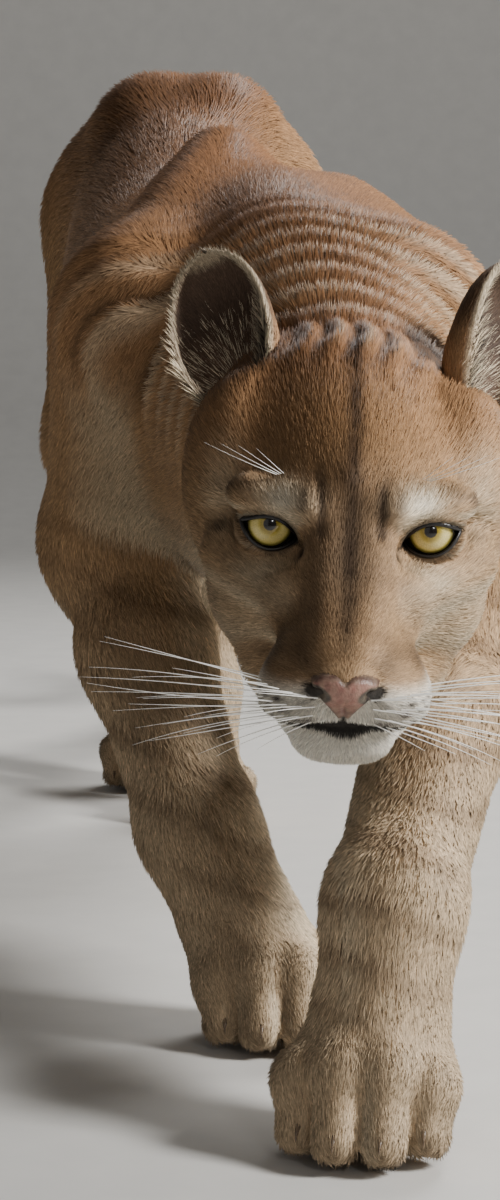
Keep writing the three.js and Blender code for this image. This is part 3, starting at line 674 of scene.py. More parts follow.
def face_detail(q):
    """What is added to the head's field over the face: the mouth's line, the lips, brows and creases."""
    lips = from_line(q, LIPS)
    near = lips < 14
    out = np.zeros(len(q))
    groove = 1.7 + 0.7 * np.exp(-((q[near, 0] / 16) ** 2))
    lip = np.exp(-(((lips[near] - 5.4) / 2.5) ** 2))
    out[near] += 3.4 * np.exp(-((lips[near] / groove) ** 2)) - lip
    split = from_line(q, PHILTRUM)
    out += 1.8 * np.exp(-((split / 1.3) ** 2))
    for side in (-1, 1):
        for depth, width, line in FACE_LINES:
            far = from_line(q, np.array(line, float) * vec(side, 1, 1))
            out += depth * np.exp(-((far / width) ** 2))
    return out


def head_skin_field(q):
    p = from_head(q)
    f = skin_field(p)
    front = q[:, 1] < 60
    f[front] += face_detail(q[front])
    return add_lids(f, q)


COLOUR_LAYER = "coat_colour"


def attribute_colours(mesh, colours):
    layer = mesh.color_attributes.new(COLOUR_LAYER, "FLOAT_COLOR", "POINT")
    rgba = np.ones((len(colours), 4), np.float32)
    rgba[:, :3] = colours
    layer.data.foreach_set("color", rgba.ravel())


def mesh_object(name, points, faces, material, colours=None):
    """A mesh object from points in the animal's own frame, in millimetres, and faces of one size."""
    placed = ((np.asarray(points) + SHIFT) * MM).astype(np.float32)
    faces = np.asarray(faces, np.int32)
    size = faces.shape[1]
    mesh = bpy.data.meshes.new(name)
    mesh.vertices.add(len(placed))
    mesh.vertices.foreach_set("co", placed.ravel())
    mesh.loops.add(faces.size)
    mesh.loops.foreach_set("vertex_index", faces.ravel())
    mesh.polygons.add(len(faces))
    mesh.polygons.foreach_set("loop_start", np.arange(0, faces.size, size, dtype=np.int32))
    mesh.polygons.foreach_set("loop_total", np.full(len(faces), size, np.int32))
    mesh.update(calc_edges=True)
    mesh.validate()
    mesh.polygons.foreach_set("use_smooth", np.ones(len(mesh.polygons), bool))
    if colours is not None:
        attribute_colours(mesh, colours)
    mesh.materials.append(material)
    obj = bpy.data.objects.new(name, mesh)
    bpy.context.scene.collection.objects.link(obj)
    return obj


def kept(points, faces, keep):
    """The faces whose points are all kept, and the points that they use."""
    faces = faces[keep[faces].all(1)]
    used = np.unique(faces)
    index = np.full(len(points), -1, np.int32)
    index[used] = np.arange(len(used))
    return points[used], index[faces]


def merged(parts):
    """Several meshes as one."""
    points, faces, start = [], [], 0
    for p, f in parts:
        points.append(p)
        faces.append(f + start)
        start += len(p)
    return np.concatenate(points), np.concatenate(faces)


# The skin is meshed in three finenesses. The head's and the paws' nets reach a little under the body's,
# and the coat covers where they meet.
BODY_STEP = 5.0
HEAD_STEP = 1.5
PAW_STEP = 2.4
BODY_BOX = ((-205, -420, -6), (200, 1290, 650))
HEAD_BOX = ((-96, -98, -120), (96, 112, 84))
HEAD_BACK = {"head": 104.0, "body": 92.0}
PAW_TOP = 72.0


def body_net():
    values, low = sampled(skin_field, *BODY_BOX, BODY_STEP)
    points, faces = net(values, low, BODY_STEP)
    points = settle(skin_field, points)
    q = to_head(points)
    in_head = (q[:, 1] < HEAD_BACK["body"]) & (head_in_own_frame(q) < 13)
    on_paw = np.zeros(len(points), bool)
    for limb in LIMBS.values():
        px, py, _ = limb["paw"]
        on_paw |= (np.hypot(points[:, 0] - px, points[:, 1] - py) < 75) & (points[:, 2] < PAW_TOP - 5)
    return kept(points, faces, ~(in_head | on_paw))


def head_net():
    values, low = sampled(head_skin_field, *HEAD_BOX, HEAD_STEP)
    points, faces = net(values, low, HEAD_STEP)
    points = settle(head_skin_field, points)
    keep = (points[:, 1] < HEAD_BACK["head"]) & (head_in_own_frame(points) < 17)
    points, faces = kept(points, faces, keep)
    return from_head(points), faces


def paw_net(limb):
    px, py, _ = limb["paw"]
    values, low = sampled(skin_field, (px - 60, py - 68, -3), (px + 60, py + 70, PAW_TOP + 4), PAW_STEP)
    points, faces = net(values, low, PAW_STEP)
    points = settle(skin_field, points)
    radius = np.hypot(points[:, 0] - px, points[:, 1] - py)
    return kept(points, faces, (points[:, 2] < PAW_TOP) & (radius < 72))


def skin_shape():
    paws = [paw_net(limb) for limb in LIMBS.values()]
    return merged([body_net(), head_net(), *paws])


# Eyes and lids: the opening between the lids, in the head's frame.

LID = {"length": 28.5, "upper": 8.7, "lower": 7.6, "slant": 15.0, "ball": 15.7, "pit": 13.0}


def lid_frame(x, z):
    """Along and across the opening, measured from the eye's middle, the inner corner at the low end."""
    slant = math.radians(LID["slant"])
    dx, dz = x - EYE["x"], z - EYE["z"]
    return dx * math.cos(slant) + dz * math.sin(slant), dz * math.cos(slant) - dx * math.sin(slant)


def on_left(q):
    """Points of the head with those of its right side mirrored onto its left."""
    q = q.copy()
    q[:, 0] = np.abs(q[:, 0])
    return q


def opening(q):
    """About how far outside the opening between the lids a point is, seen from in front."""
    along, across = lid_frame(np.abs(q[:, 0]), q[:, 2])
    half = LID["length"] / 2
    t = np.clip(along / half, -1, 1)
    height = np.where(across > 0, LID["upper"], LID["lower"]) * np.cos(t * math.pi / 2) ** 0.75
    beyond = np.clip(np.abs(along) - half, 0, None)
    past = np.abs(across) - height
    return np.hypot(np.clip(past, 0, None), beyond) + np.minimum(past, 0) * (beyond == 0)


def lid_edge(side, count):
    """The opening's edge as points on the eyeball's front, over the top and back below."""
    half = LID["length"] / 2
    t = np.linspace(-1, 1, count)
    bow = np.cos(t * math.pi / 2) ** 0.75
    along = np.concatenate([t * half, t[-2:0:-1] * half])
    across = np.concatenate([LID["upper"] * bow, -LID["lower"] * bow[-2:0:-1]])
    slant = math.radians(LID["slant"])
    x = EYE["x"] + along * math.cos(slant) - across * math.sin(slant)
    z = EYE["z"] + along * math.sin(slant) + across * math.cos(slant)
    ball = (LID["ball"] - 0.5) ** 2
    deep = np.sqrt(np.clip(ball - (x - EYE["x"]) ** 2 - (z - EYE["z"]) ** 2, 4, None))
    return np.stack([side * x, EYE["y"] - deep, z], 1)


def add_lids(f, q):
    """The lids' ball round each eye, and the pit that the eye shows through."""
    far = np.linalg.norm(on_left(q) - eye_middle(), axis=1)
    f = smooth_min(f, far - LID["ball"], 3.5)
    front = q[:, 1] - (EYE["y"] - 1)
    pit = np.maximum(np.maximum(opening(q) - 0.5, LID["pit"] - far), front)
    return np.maximum(f, -pit)


# Colours: one palette, and one function that gives skin and coat the same markings, with some painted shade
# and light.


def linear(colour):
    """A hex colour, as a screen shows it, in linear light."""
    rgb = np.array([int(colour[i : i + 2], 16) for i in (1, 3, 5)]) / 255
    return np.where(rgb <= 0.04045, rgb / 12.92, ((rgb + 0.055) / 1.055) ** 2.4)


PALETTE = {
    "tawny": linear("#a8805a"),
    "spine": linear("#83593a"),
    "flank": linear("#b8966e"),
    "pale": linear("#d9c7a9"),
    "white": linear("#efe7d8"),
    "forehead": linear("#8c6b48"),
    "grey": linear("#7f6a54"),
    # The next two serve for dark markings and bars, and also as painted shade in the neck's folds, between
    # the crown's ridges and deep in the ears' cups.
    "mark": linear("#2e211a"),
    "bar_and_shade": linear("#64472f"),
    # Dark bare skin, also used as painted shade in the nostrils.
    "rim": linear("#16110e"),
    "ear_back": linear("#4b382a"),
    "ear_inside": linear("#54443a"),
    "nose": linear("#80544a"),
    "nose_edge": linear("#3a2622"),
    "iris": linear("#c9b65e"),
    "iris_inner": linear("#8f7a2c"),
    "iris_edge": linear("#4a4418"),
    "whisker": linear("#f4f1ea"),
    "claw": linear("#6b5a48"),
    "floor": linear("#d9d6d0"),
}


def paint(base, colour, amount):
    """Some of a palette colour laid over the colours so far."""
    amount = np.clip(amount, 0, 1)[:, None]
    return base * (1 - amount) + PALETTE[colour] * amount


def blob(q, centre, radii):
    """How much of a soft spot each point has, with the same spot on the head's other side."""
    x, y, z = ((on_left(q) - vec(*centre)) / vec(*radii)).T
    return np.exp(-(x**2) - y**2 - z**2)


def stroke(q, points, width):
    """A soft line through points, and its mirror image."""
    return np.exp(-((from_line(on_left(q), np.array(points, float)) / width) ** 2))


def wobble(p, size, seed=0.0):
    """A smooth random field between about -1 and 1."""
    a = p / size
    return (
        np.sin(a[:, 0] * 1.7 + 1.3 * np.sin(a[:, 1] * 1.1 + seed) + seed)
        + np.sin(a[:, 1] * 1.9 + 1.7 * np.sin(a[:, 2] * 1.3 + 2 * seed))
        + np.sin(a[:, 2] * 1.5 + 1.1 * np.sin(a[:, 0] * 1.6 + 3 * seed) + 2.0)
    ) / 3


# The face's spots: colour, strength, how uneven, and the middle and radii on the left side.
FACE_SPOTS = (
    ("forehead", 0.75, 0.0, (0, 10, 40), (42, 60, 30)),
    ("grey", 0.9, 0.0, (0, -25, 0), (20, 50, 34)),
    ("pale", 0.72, 0.0, (46, 30, -40), (24, 34, 22)),
    ("pale", 1.1, 0.2, (33, -5, 18), (14, 14, 8)),
    ("white", 0.4, 0.0, (33, -8, 18), (8, 12, 5)),
    ("pale", 0.8, 0.0, (27, -14, -24), (9, 14, 9)),
    ("pale", 0.9, 0.3, (36, -6, -19), (18, 14, 7)),
    ("pale", 0.5, 0.0, (60, 30, 8), (10, 22, 22)),
)
# Its lines, painted over those: colour, strength, how uneven, the line on the left side and its width.
FACE_STROKES = (
    ("mark", 0.8, 0.0, ((14, -16, 6), (14, -6, 24), (18, 2, 36)), 2.8),
    ("mark", 0.6, 0.0, ((18, 2, 36), (22, -3, 28), (22, -10, 16)), 2.0),
    ("mark", 0.5, 1.0, ((58, 10, 16), (62, 18, 2), (64, 26, -14)), 4.5),
    ("mark", 0.5, 1.0, ((22, -14, 22), (36, -8, 27), (52, 6, 22)), 3.4),
    ("grey", 0.6, 0.0, ((9, -30, -8), (12, -52, -26), (15, -66, -36)), 5.5),
)
# The dark patches at the muzzle's sides, painted over both.
MUZZLE_SPOTS = (
    ("mark", 0.8, 0.3, (38, -46, -36), (12, 20, 11)),
    ("mark", 0.5, 0.3, (18, -62, -36), (9, 12, 6)),
)


def marked(c, q, form, marks, uneven):
    """Spots or lines of a table painted in their order."""
    for colour, strength, rough, *place in marks:
        c = paint(c, colour, strength * form(q, *place) * (1 + rough * uneven))
    return c


def face_colour(c, q):
    """The face's markings over the coat's colour, with painted shade in the nostrils, for points in the
    head's frame.
    """
    side = np.abs(q[:, 0])
    uneven = wobble(q, 6.0, 4.0)
    c = marked(c, q, blob, FACE_SPOTS, uneven)
    centre = np.exp(-((side / 4.4) ** 2)) * ramp(q[:, 1], 110, 60) * ramp(q[:, 2], -42, -14)
    c = paint(c, "mark", (0.74 + 0.2 * uneven) * centre)
    c = marked(c, q, stroke, FACE_STROKES, uneven)
    c = marked(c, q, blob, MUZZLE_SPOTS, uneven)
    pads = ramp(q[:, 1], -22, -46) * ramp(q[:, 2], -37 - 0.16 * side, -45 - 0.16 * side)
    c = paint(c, "white", 0.97 * pads * ramp(q[:, 2], -84, -74))
    c = paint(c, "white", 0.97 * ramp(q[:, 2], -64, -70) * ramp(q[:, 1], -6, -34) * ramp(side, 46, 32))
    c = paint(c, "pale", 0.8 * ramp(q[:, 2], -68, -84) * ramp(q[:, 1], 120, 60) * ramp(q[:, 1], -34, -6))
    c = paint(c, "mark", 0.85 * blob(q, (42, -26, -52), (9, 13, 12)) * (1 + 0.3 * uneven))
    for row in range(4):
        line = np.exp(-(((q[:, 2] + 49 + 4.3 * row + 0.06 * side) / 1.15) ** 2))
        dots = 0.5 + 0.5 * np.sin((q[:, 1] + 2.1 * row) * 2 * math.pi / 5.4)
        c = paint(c, "mark", line * dots * ramp(side, 10, 16) * ramp(q[:, 1], -32, -46))
    lips = from_line(q, LIPS)
    under = ramp(mouth_height(q[:, 1]) - q[:, 2], -0.5, 1.5)
    reach = 2.6 + 1.6 * np.exp(-((side / 15) ** 2)) + under * (1.2 + 3.6 * np.exp(-((side / 17) ** 2)))
    c = paint(c, "rim", 0.97 * ramp(lips / reach + 0.06 * uneven, 1.0, 0.7))
    c = paint(c, "rim", 0.9 * np.exp(-((from_line(q, PHILTRUM) / 1.7) ** 2)))
    # Painted shade in the nostrils' slits, where they run round onto the skin.
    c = paint(c, "rim", 0.96 * ramp(nostril_gap(q), 2.0, 1.0))
    far = opening(q)
    front = ramp(q[:, 1], 16, 8)
    c = paint(c, "rim", 0.97 * np.exp(-((np.clip(far, 0, None) / 2.3) ** 2)) * front)
    c = paint(c, "rim", 0.92 * stroke(q, [(25, -4, -4), (22, -12, -9), (19, -20, -18)], 2.6))
    return paint(c, "rim", 0.75 * stroke(q, [(52, 4, 4), (56, 10, 5), (59, 16, 4)], 2.2))


def coat_colour(p, n):
    """The coat's colour at points on it, given the way out there."""
    q = to_head(p)
    c = np.tile(PALETTE["tawny"], (len(p), 1))
    ys = TRUNK[:, 0]
    y = np.clip(p[:, 1], ys[0], ys[-1])
    top, bottom = np.interp(y, ys, TRUNK[:, 2]), np.interp(y, ys, TRUNK[:, 3])
    high = (p[:, 2] - bottom) / (top - bottom)
    c = paint(c, "flank", 0.7 * ramp(high, 0.75, 0.35))
    c = paint(c, "spine", 0.8 * ramp(high, 0.72, 1.02) * ramp(n[:, 2], 0.1, 0.8))
    c = paint(c, "pale", 0.9 * ramp(n[:, 2], -0.25, -0.75) * (p[:, 2] > 130))
    c = paint(c, "pale", 0.55 * ramp(p[:, 2], 300, 120) * (p[:, 1] < HIPS_BACK))
    limbs_low = (p[:, 2] < 330) & (p[:, 1] < HIPS_BACK)
    middle = np.interp(y, ys, TRUNK[:, 1])
    inner = np.where(p[:, 0] > middle, -n[:, 0], n[:, 0])
    c = paint(c, "pale", 0.6 * ramp(inner, 0.2, 0.8) * limbs_low)
    bars = np.sin(2 * math.pi * (p[:, 2] + 0.35 * p[:, 0] + 5 * wobble(p, 26, 1.0)) / 27)
    barred = ramp(bars, 0.25, 0.9) * (p[:, 1] < 120) * ramp(p[:, 2], 330, 270) * ramp(p[:, 2], 40, 90)
    c = paint(c, "bar_and_shade", 0.5 * barred * (0.6 + 0.4 * wobble(p, 40, 2.0)))
    # The toes are darker close to the floor.
    toe_dark = ramp(p[:, 2], 26, 8) * (p[:, 1] < HIPS_BACK)
    c = paint(c, "grey", 0.4 * toe_dark)
    tail = p[:, 1] > TAIL_FROM
    along = np.interp(p[:, 1], TAIL_PATH[:, 1], np.linspace(0, 1, len(TAIL_PATH)))
    c = paint(c, "spine", 0.5 * ramp(n[:, 2], -0.2, 0.8) * tail)
    c = paint(c, "pale", 0.5 * ramp(n[:, 2], 0.0, -0.8) * tail)
    c = paint(c, "mark", 0.93 * ramp(along, 0.86, 0.93) * tail)
    # Painted shade in the furrows of the neck's folds and between the crown's ridges, and painted light on
    # the folds' crests.
    folds = neck_folds(p) * on_neck(p)
    crown = ramp(q[:, 1], 118, 104)
    c = paint(c, "mark", 0.72 * ramp(-folds, 0.6, 3.2) * (1 - crown))
    c = paint(c, "bar_and_shade", 0.75 * ramp(-folds, 0.4, 2.0) * crown)
    c = paint(c, "pale", 0.42 * ramp(folds, 0.6, 3.0))
    near = (p[:, 1] < AHEAD["face"]) & (q[:, 1] < 140) & (q[:, 2] > HEAD_LOW)
    if near.any():
        faced = face_colour(c[near], q[near])
        hold = ramp(q[near, 1], 130, 80)[:, None]
        c[near] = c[near] * (1 - hold) + faced * hold
    return c * (1 + 0.07 * wobble(p, 30, 5.0) + 0.05 * wobble(p, 9, 6.0))[:, None]


# Small forms: the ears, the eyes, the lids' rims, the nose pad, whiskers and claws.


def unit(v):
    return v / (np.linalg.norm(v, axis=-1, keepdims=True) + 1e-12)


def grid_faces(rows, columns, closed=True):
    """Quads between rows of points, round to the first column where closed."""
    last = columns if closed else columns - 1
    i, j = np.meshgrid(np.arange(rows - 1), np.arange(last), indexing="ij")
    nxt = (j + 1) % columns
    faces = np.stack([i * columns + j, i * columns + nxt, (i + 1) * columns + nxt, (i + 1) * columns + j], -1)
    return faces.reshape(-1, 4)


def vertex_normals(points, faces):
    tris = faces if faces.shape[1] == 3 else np.concatenate([faces[:, :3], faces[:, [0, 2, 3]]])
    a, b, c = (points[tris[:, i]] for i in range(3))
    flat = np.cross(b - a, c - a)
    total = np.zeros_like(points)
    for i in range(3):
        for k in range(3):
            total[:, k] += np.bincount(tris[:, i], flat[:, k], len(points))
    return unit(total)


EAR_MESH = {"rows": 30, "columns": 40, "inset": 1.0, "wall": 2.6}


def ear_sheet(side, inset, rows, columns):
    """One surface of the ear's cup, row by row from its root to its tip, in the head's frame."""
    base, tip = vec(*EAR["base"]), vec(*EAR["tip"])
    turn = math.radians(EAR["left"] if side > 0 else EAR["right"])
    up = unit(tip - base)
    facing = vec(math.sin(turn), -math.cos(turn), 0)
    facing = unit(facing - up * (facing @ up))
    across = np.cross(up, facing)
    t = np.linspace(-0.3, 1, rows)
    crown = np.sqrt(np.clip(1 - (np.clip(t - 0.3, 0, None) / 0.705) ** 2.6, 0, 1))
    profile = np.where(t > 0.3, crown, 1 - 0.16 * ((0.3 - t) / 0.3) ** 2)
    radius = np.clip(EAR["half"] * profile - inset, 1.0, None)
    spread = np.radians(112 + (84 - 112) * t)
    height = np.linalg.norm(tip - base) * t - inset * 0.6 * t
    angle = spread[:, None] * np.linspace(-1, 1, columns)
    points = (
        base
        + up * height[:, None, None]
        + across * (radius[:, None] * np.sin(angle))[..., None]
        - facing * (0.66 * radius[:, None] * np.cos(angle))[..., None]
    )
    points[..., 0] *= side
    return points, angle / spread[:, None], t


def ear_shape(side):
    """An ear as one closed cup, with its colours and the way its hair lies."""
    rows, columns = EAR_MESH["rows"], EAR_MESH["columns"]
    outer, around, t = ear_sheet(side, EAR_MESH["inset"], rows, columns)
    inner, _, _ = ear_sheet(side, EAR_MESH["inset"] + EAR_MESH["wall"], rows, columns)
    edge = (outer[:, -1:] + inner[:, -1:]) / 2 + unit(outer[:, -1:] - outer[:, -2:-1]) * 1.0
    start = (outer[:, :1] + inner[:, :1]) / 2 + unit(outer[:, :1] - outer[:, 1:2]) * 1.0
    sheet = np.concatenate([outer, edge, inner[:, ::-1], start], 1)
    count = sheet.shape[1]
    points = sheet.reshape(-1, 3)
    faces = grid_faces(rows, count)
    cap = np.array([[(rows - 1) * count + j, (rows - 1) * count + j + 1] for j in range(columns - 1)])
    mirror = (rows - 1) * count + 2 * columns - np.arange(columns - 1)
    cap = np.stack([cap[:, 1], cap[:, 0], mirror, mirror - 1], 1)
    faces = np.concatenate([faces, cap])
    if side > 0:
        faces = faces[:, ::-1]
    rim = np.ones((rows, count))
    rim[:, :columns] = np.abs(around)
    rim[:, columns + 1 : 2 * columns + 1] = np.abs(around[:, ::-1])
    rim = np.maximum(rim, t[:, None]).reshape(-1)
    is_inner = np.zeros((rows, count), bool)
    is_inner[:, columns + 1 : 2 * columns + 1] = True
    is_inner = is_inner.reshape(-1)
    high = np.repeat(t, count)
    c = np.tile(PALETTE["tawny"], (len(points), 1))
    c = paint(c, "ear_back", 0.85 * ramp(high, 0.1, 0.5) * ~is_inner)
    c = paint(c, "ear_inside", 0.9 * is_inner)
    c = paint(c, "pale", 0.75 * ramp(rim, 0.9, 0.99))
    # Painted shade deep in the ear's cup, away from its rim and root.
    c = paint(c, "mark", 0.4 * is_inner * ramp(rim, 0.9, 0.5) * ramp(high, 0.15, 0.4))
    return from_head(points), faces, c, is_inner


def ball_points(rings, around, profile):
    """Rings of a ball about +z: the first ring is at its front."""
    polar = np.linspace(0.0, math.pi, rings)
    angle = np.linspace(0, 2 * math.pi, around, endpoint=False)
    r = profile(polar)
    points = np.stack(
        [
            (r * np.sin(polar))[:, None] * np.cos(angle),
            (r * np.sin(polar))[:, None] * np.sin(angle),
            np.repeat((r * np.cos(polar))[:, None], around, 1),
        ],
        -1,
    )
    return points.reshape(-1, 3), polar.repeat(around), np.tile(angle, rings)


CORNEA = {"reach": math.radians(46), "bulge": 1.0}
IRIS = {"iris": 10.7, "pupil": 2.9}
EYE_MESH = (150, 128)
# Where the viewer stands.
CAMERA_AT = np.array((0.0, -1700.0, 400.0))


def eye_shape(side):
    """An eyeball that looks at the viewer, with the colours of its iris and pupil."""
    middle = from_head(eye_middle(side)[None])[0]
    gaze = unit(CAMERA_AT - middle)
    right = unit(np.cross(vec(0, 0, 1), gaze))
    up = np.cross(gaze, right)

    def profile(polar):
        t = np.clip(polar / CORNEA["reach"], 0, 1)
        return EYE["radius"] - 0.4 + CORNEA["bulge"] * (1 - t**2) ** 2

    local, polar, angle = ball_points(*EYE_MESH, profile)
    points = middle + local @ np.stack([right, up, gaze])
    faces = grid_faces(*EYE_MESH)
    r = EYE["radius"] * np.sin(np.clip(polar, 0, math.pi / 2))
    fibres = 0.5 + 0.25 * np.sin(angle * 41 + 2 * np.sin(r * 1.3))
    fibres = fibres + 0.25 * np.sin(angle * 67 + 1.2 * r + 1)
    t = np.clip((r - IRIS["pupil"]) / (IRIS["iris"] - IRIS["pupil"]), 0, 1)
    c = np.tile(PALETTE["iris"], (len(points), 1))
    c = paint(c, "iris_inner", 0.85 * (1 - ramp(t, 0.05, 0.45)) + 0.25 * fibres * (t > 0))
    c = paint(c, "white", 0.28 * fibres * ramp(t, 0.2, 0.5) * ramp(t, 0.95, 0.6))
    c = paint(c, "iris_edge", 0.9 * ramp(t, 0.76, 0.97))
    c = paint(c, "rim", 0.96 * ramp(r, IRIS["iris"] - 0.5, IRIS["iris"] + 0.5))
    c = paint(c, "rim", ramp(r, IRIS["pupil"] + 0.35, IRIS["pupil"] - 0.15))
    c = paint(c, "rim", polar > math.pi / 2)
    return points, faces, c


def tube(points, radii, sides=6):
    """A tapered tube along a line of points."""
    tangent = unit(np.gradient(points, axis=0))
    guide = np.where(np.abs(tangent[:, 2:]) > 0.9, vec(1, 0, 0), vec(0, 0, 1))
    u = unit(np.cross(tangent, guide))
    v = np.cross(tangent, u)
    angle = np.linspace(0, 2 * math.pi, sides, endpoint=False)
    ring = u[:, None] * np.cos(angle)[None, :, None] + v[:, None] * np.sin(angle)[None, :, None]
    all_points = points[:, None] + ring * np.asarray(radii)[:, None, None]
    return all_points.reshape(-1, 3), grid_faces(len(points), sides)


def lid_rim(side):
    """The rolled, dark edge of the lids round one eye, thicker above than below."""
    line = lid_edge(side, 48)
    out = unit(line - eye_middle(side))
    run = unit(np.roll(line, -1, 0) - np.roll(line, 1, 0))
    flat = unit(np.cross(out, run))
    above = line[:, 2] > EYE["z"] - 2
    thick = np.where(above, 1.25, 0.9)
    angle = np.linspace(0, 2 * math.pi, 12, endpoint=False)
    ring = (
        line[:, None]
        + out[:, None] * (0.75 * np.cos(angle))[None, :, None]
        + flat[:, None] * (thick[:, None] * np.sin(angle)[None])[..., None]
    )
    count = len(line)
    i, j = np.meshgrid(np.arange(count), np.arange(12), indexing="ij")
    i2, j2 = (i + 1) % count, (j + 1) % 12
    faces = np.stack([i * 12 + j, i * 12 + j2, i2 * 12 + j2, i2 * 12 + j], -1).reshape(-1, 4)
    return from_head(ring.reshape(-1, 3)), faces


PAD = {"top": -33.0, "low": -56.0, "proud": 1.1}
# The nose pad's half width at shares of its height.
PAD_HALF = ((-0.25, 0, 0.25, 0.52, 0.8, 0.95, 1.1), (1.2, 4.2, 8.5, 14.4, 16.8, 14.5, 6.0))
PAD_BOX = ((-22, -96, -62), (22, -64, -29))
PAD_STEP = 0.7


def pad_outline(q):
    """About how far outside the nose pad's outline a point is, seen from in front."""
    z = (q[:, 2] - PAD["low"]) / (PAD["top"] - PAD["low"])
    half = np.interp(z, *PAD_HALF)
    side = np.abs(q[:, 0])
    top = PAD["top"] - 2.2 - 2.6 * np.exp(-((side / 2.6) ** 2)) - 0.06 * np.clip(side - 7, 0, None) ** 2
    return np.maximum(side - half, np.maximum(PAD["low"] - 3.0 - q[:, 2], q[:, 2] - top))


# Each nostril: two rods end to end, out and back round the pad's side.
NOSTRILS = [bone((s * 7.0, -90, -47.0), (s * 12.4, -82, -44.5), 1.8, 2.8) for s in (-1, 1)]
NOSTRILS += [bone((s * 12.4, -82, -44.5), (s * 15.2, -75, -45.0), 2.8, 1.8) for s in (-1, 1)]


def nostril_gap(q):
    """How far outside the nearest nostril a point is."""
    return np.min([nostril(q) for nostril in NOSTRILS], axis=0)


def pad_field(q):
    surface = head_in_own_frame(q) + 1.0 - PAD["proud"]
    outline = pad_outline(q)
    f = smooth_max(surface - 0.8 * np.exp(-((q[:, 0] / 16) ** 2)), outline, 3.0)
    dent = 0.9 * np.exp(-((q[:, 0] / 1.0) ** 2)) * ramp(q[:, 2], -44, -52)
    f = f + dent
    for nostril in NOSTRILS:
        f = smooth_max(f, -nostril(q), 1.4)
    return np.maximum(f, q[:, 1] + 66)


def nose_shape():
    values, low = sampled(pad_field, *PAD_BOX, PAD_STEP)
    points, faces = net(values, low, PAD_STEP)
    points = settle(pad_field, points, most=0.5)
    c = np.tile(PALETTE["nose"], (len(points), 1))
    c = paint(c, "nose_edge", 0.85 * ramp(pad_outline(points), -2.6, -0.2))
    # Painted shade inside the nostrils.
    c = paint(c, "rim", 0.97 * ramp(nostril_gap(points), 2.4, 1.4))
    c = paint(c, "nose_edge", 0.5 * ramp(points[:, 2], -47, -54))
    c = paint(c, "pale", 0.10 * (1 + wobble(points, 1.5)))
    return from_head(points), faces, c


def curved(start, way, length, droop, count=14):
    """A line that sets out one way and bends by its droop."""
    t = np.linspace(0, 1, count)[:, None]
    return start + unit(way) * length * t + np.asarray(droop) * length * t**2


def whisker_lines(rng):
    """Each whisker's line and thickness: four rows on each side of the muzzle, and a few over the eyes."""
    lines = []
    for s in (-1, 1):
        for row in range(4):
            for k in range(7):
                q = vec(s * (13 + 3.4 * k + row), -80 + 4.6 * k, -47 - 4.6 * row - 0.6 * k)
                inside = vec(0, -45, -56)
                start = outermost(inside, unit(q - inside))[0]
                way = vec(s * (1.0 + 0.1 * k), -0.42 + 0.1 * k, 0.26 - 0.17 * row + rng.normal(0, 0.05))
                length = (34 + 9 * k - 2.2 * row) * rng.uniform(0.85, 1.15)
                droop = vec(-0.02 * s, 0.22, -0.16 + rng.normal(0, 0.05))
                lines.append((curved(start - 0.8 * unit(way), way, length, droop), 0.34))
        for k in range(4):
            start = outermost(vec(s * 34, 20, 10), unit(vec(s * (0.05 * k - 0.05), -0.55, 0.8)))[0]
            way = vec(s * (0.5 + 0.25 * k), -0.8, 0.75)
            lines.append((curved(start, way, 26 + 5 * k, vec(0.1 * s, 0.5, -0.1)), 0.2))
    return lines


def whisker_shape(rng):
    shapes = []
    for line, thick in whisker_lines(rng):
        radii = thick * np.linspace(1, 0.12, len(line)) ** 0.8
        points, faces = tube(from_head(line), radii, 5)
        shapes.append((points, faces))
    return merged(shapes)


def claw_shape():
    shapes = []
    for limb in LIMBS.values():
        place, size = paw_place(limb)
        for out, ahead, _ in TOES:
            root = place(out * 1.01, ahead + 9.5, 20)
            point = place(out * 1.02, ahead + 14.5, 13.5)
            bend = (root + point) / 2 + vec(0, -1.6, 1.4) * size
            t = np.linspace(0, 1, 9)[:, None]
            line = (1 - t) ** 2 * root + 2 * t * (1 - t) * bend + t * t * point
            shapes.append(tube(line, 1.7 * size * np.linspace(1, 0.08, 9), 8))
    return merged(shapes)


# The coat: fine spikes of three sides that lie along the body.

NOSE_TIP = np.array((0.0, -84.0, -40.0))


def limb_ways():
    """Each stretch of each limb: its form, the way its hair lies, and how strongly it says so."""
    out = []
    for limb in LIMBS.values():
        joint, elbow, wrist, paw = (vec(*limb[k]) for k in ("joint", "elbow", "wrist", "paw"))
        heel = vec(paw[0], paw[1], 46) * 0.75 + vec(wrist[0], wrist[1], 46) * 0.25
        wide = (48, 38, 30, 30) if limb["front"] else (66, 44, 24, 26)
        stretches = ((joint, elbow, 0.8), (elbow, wrist, 2.0), (wrist, heel, 2.5))
        for (a, b, weight), ra, rb in zip(stretches, wide, wide[1:]):
            out.append((bone(a, b, ra, rb), unit(b - a), weight))
        blade = vec(*limb["blade"])
        down = unit((joint - blade) * vec(1, 0, 1) + vec(0, 60, 0))
        out.append((bone(blade, joint, 40, 50), down, 1.0))
    return out


LIMB_WAYS = limb_ways()


def head_share(p, q):
    return ramp(q[:, 1], 150, 85) * (p[:, 1] < AHEAD["head"]) * (q[:, 2] > HEAD_LOW)


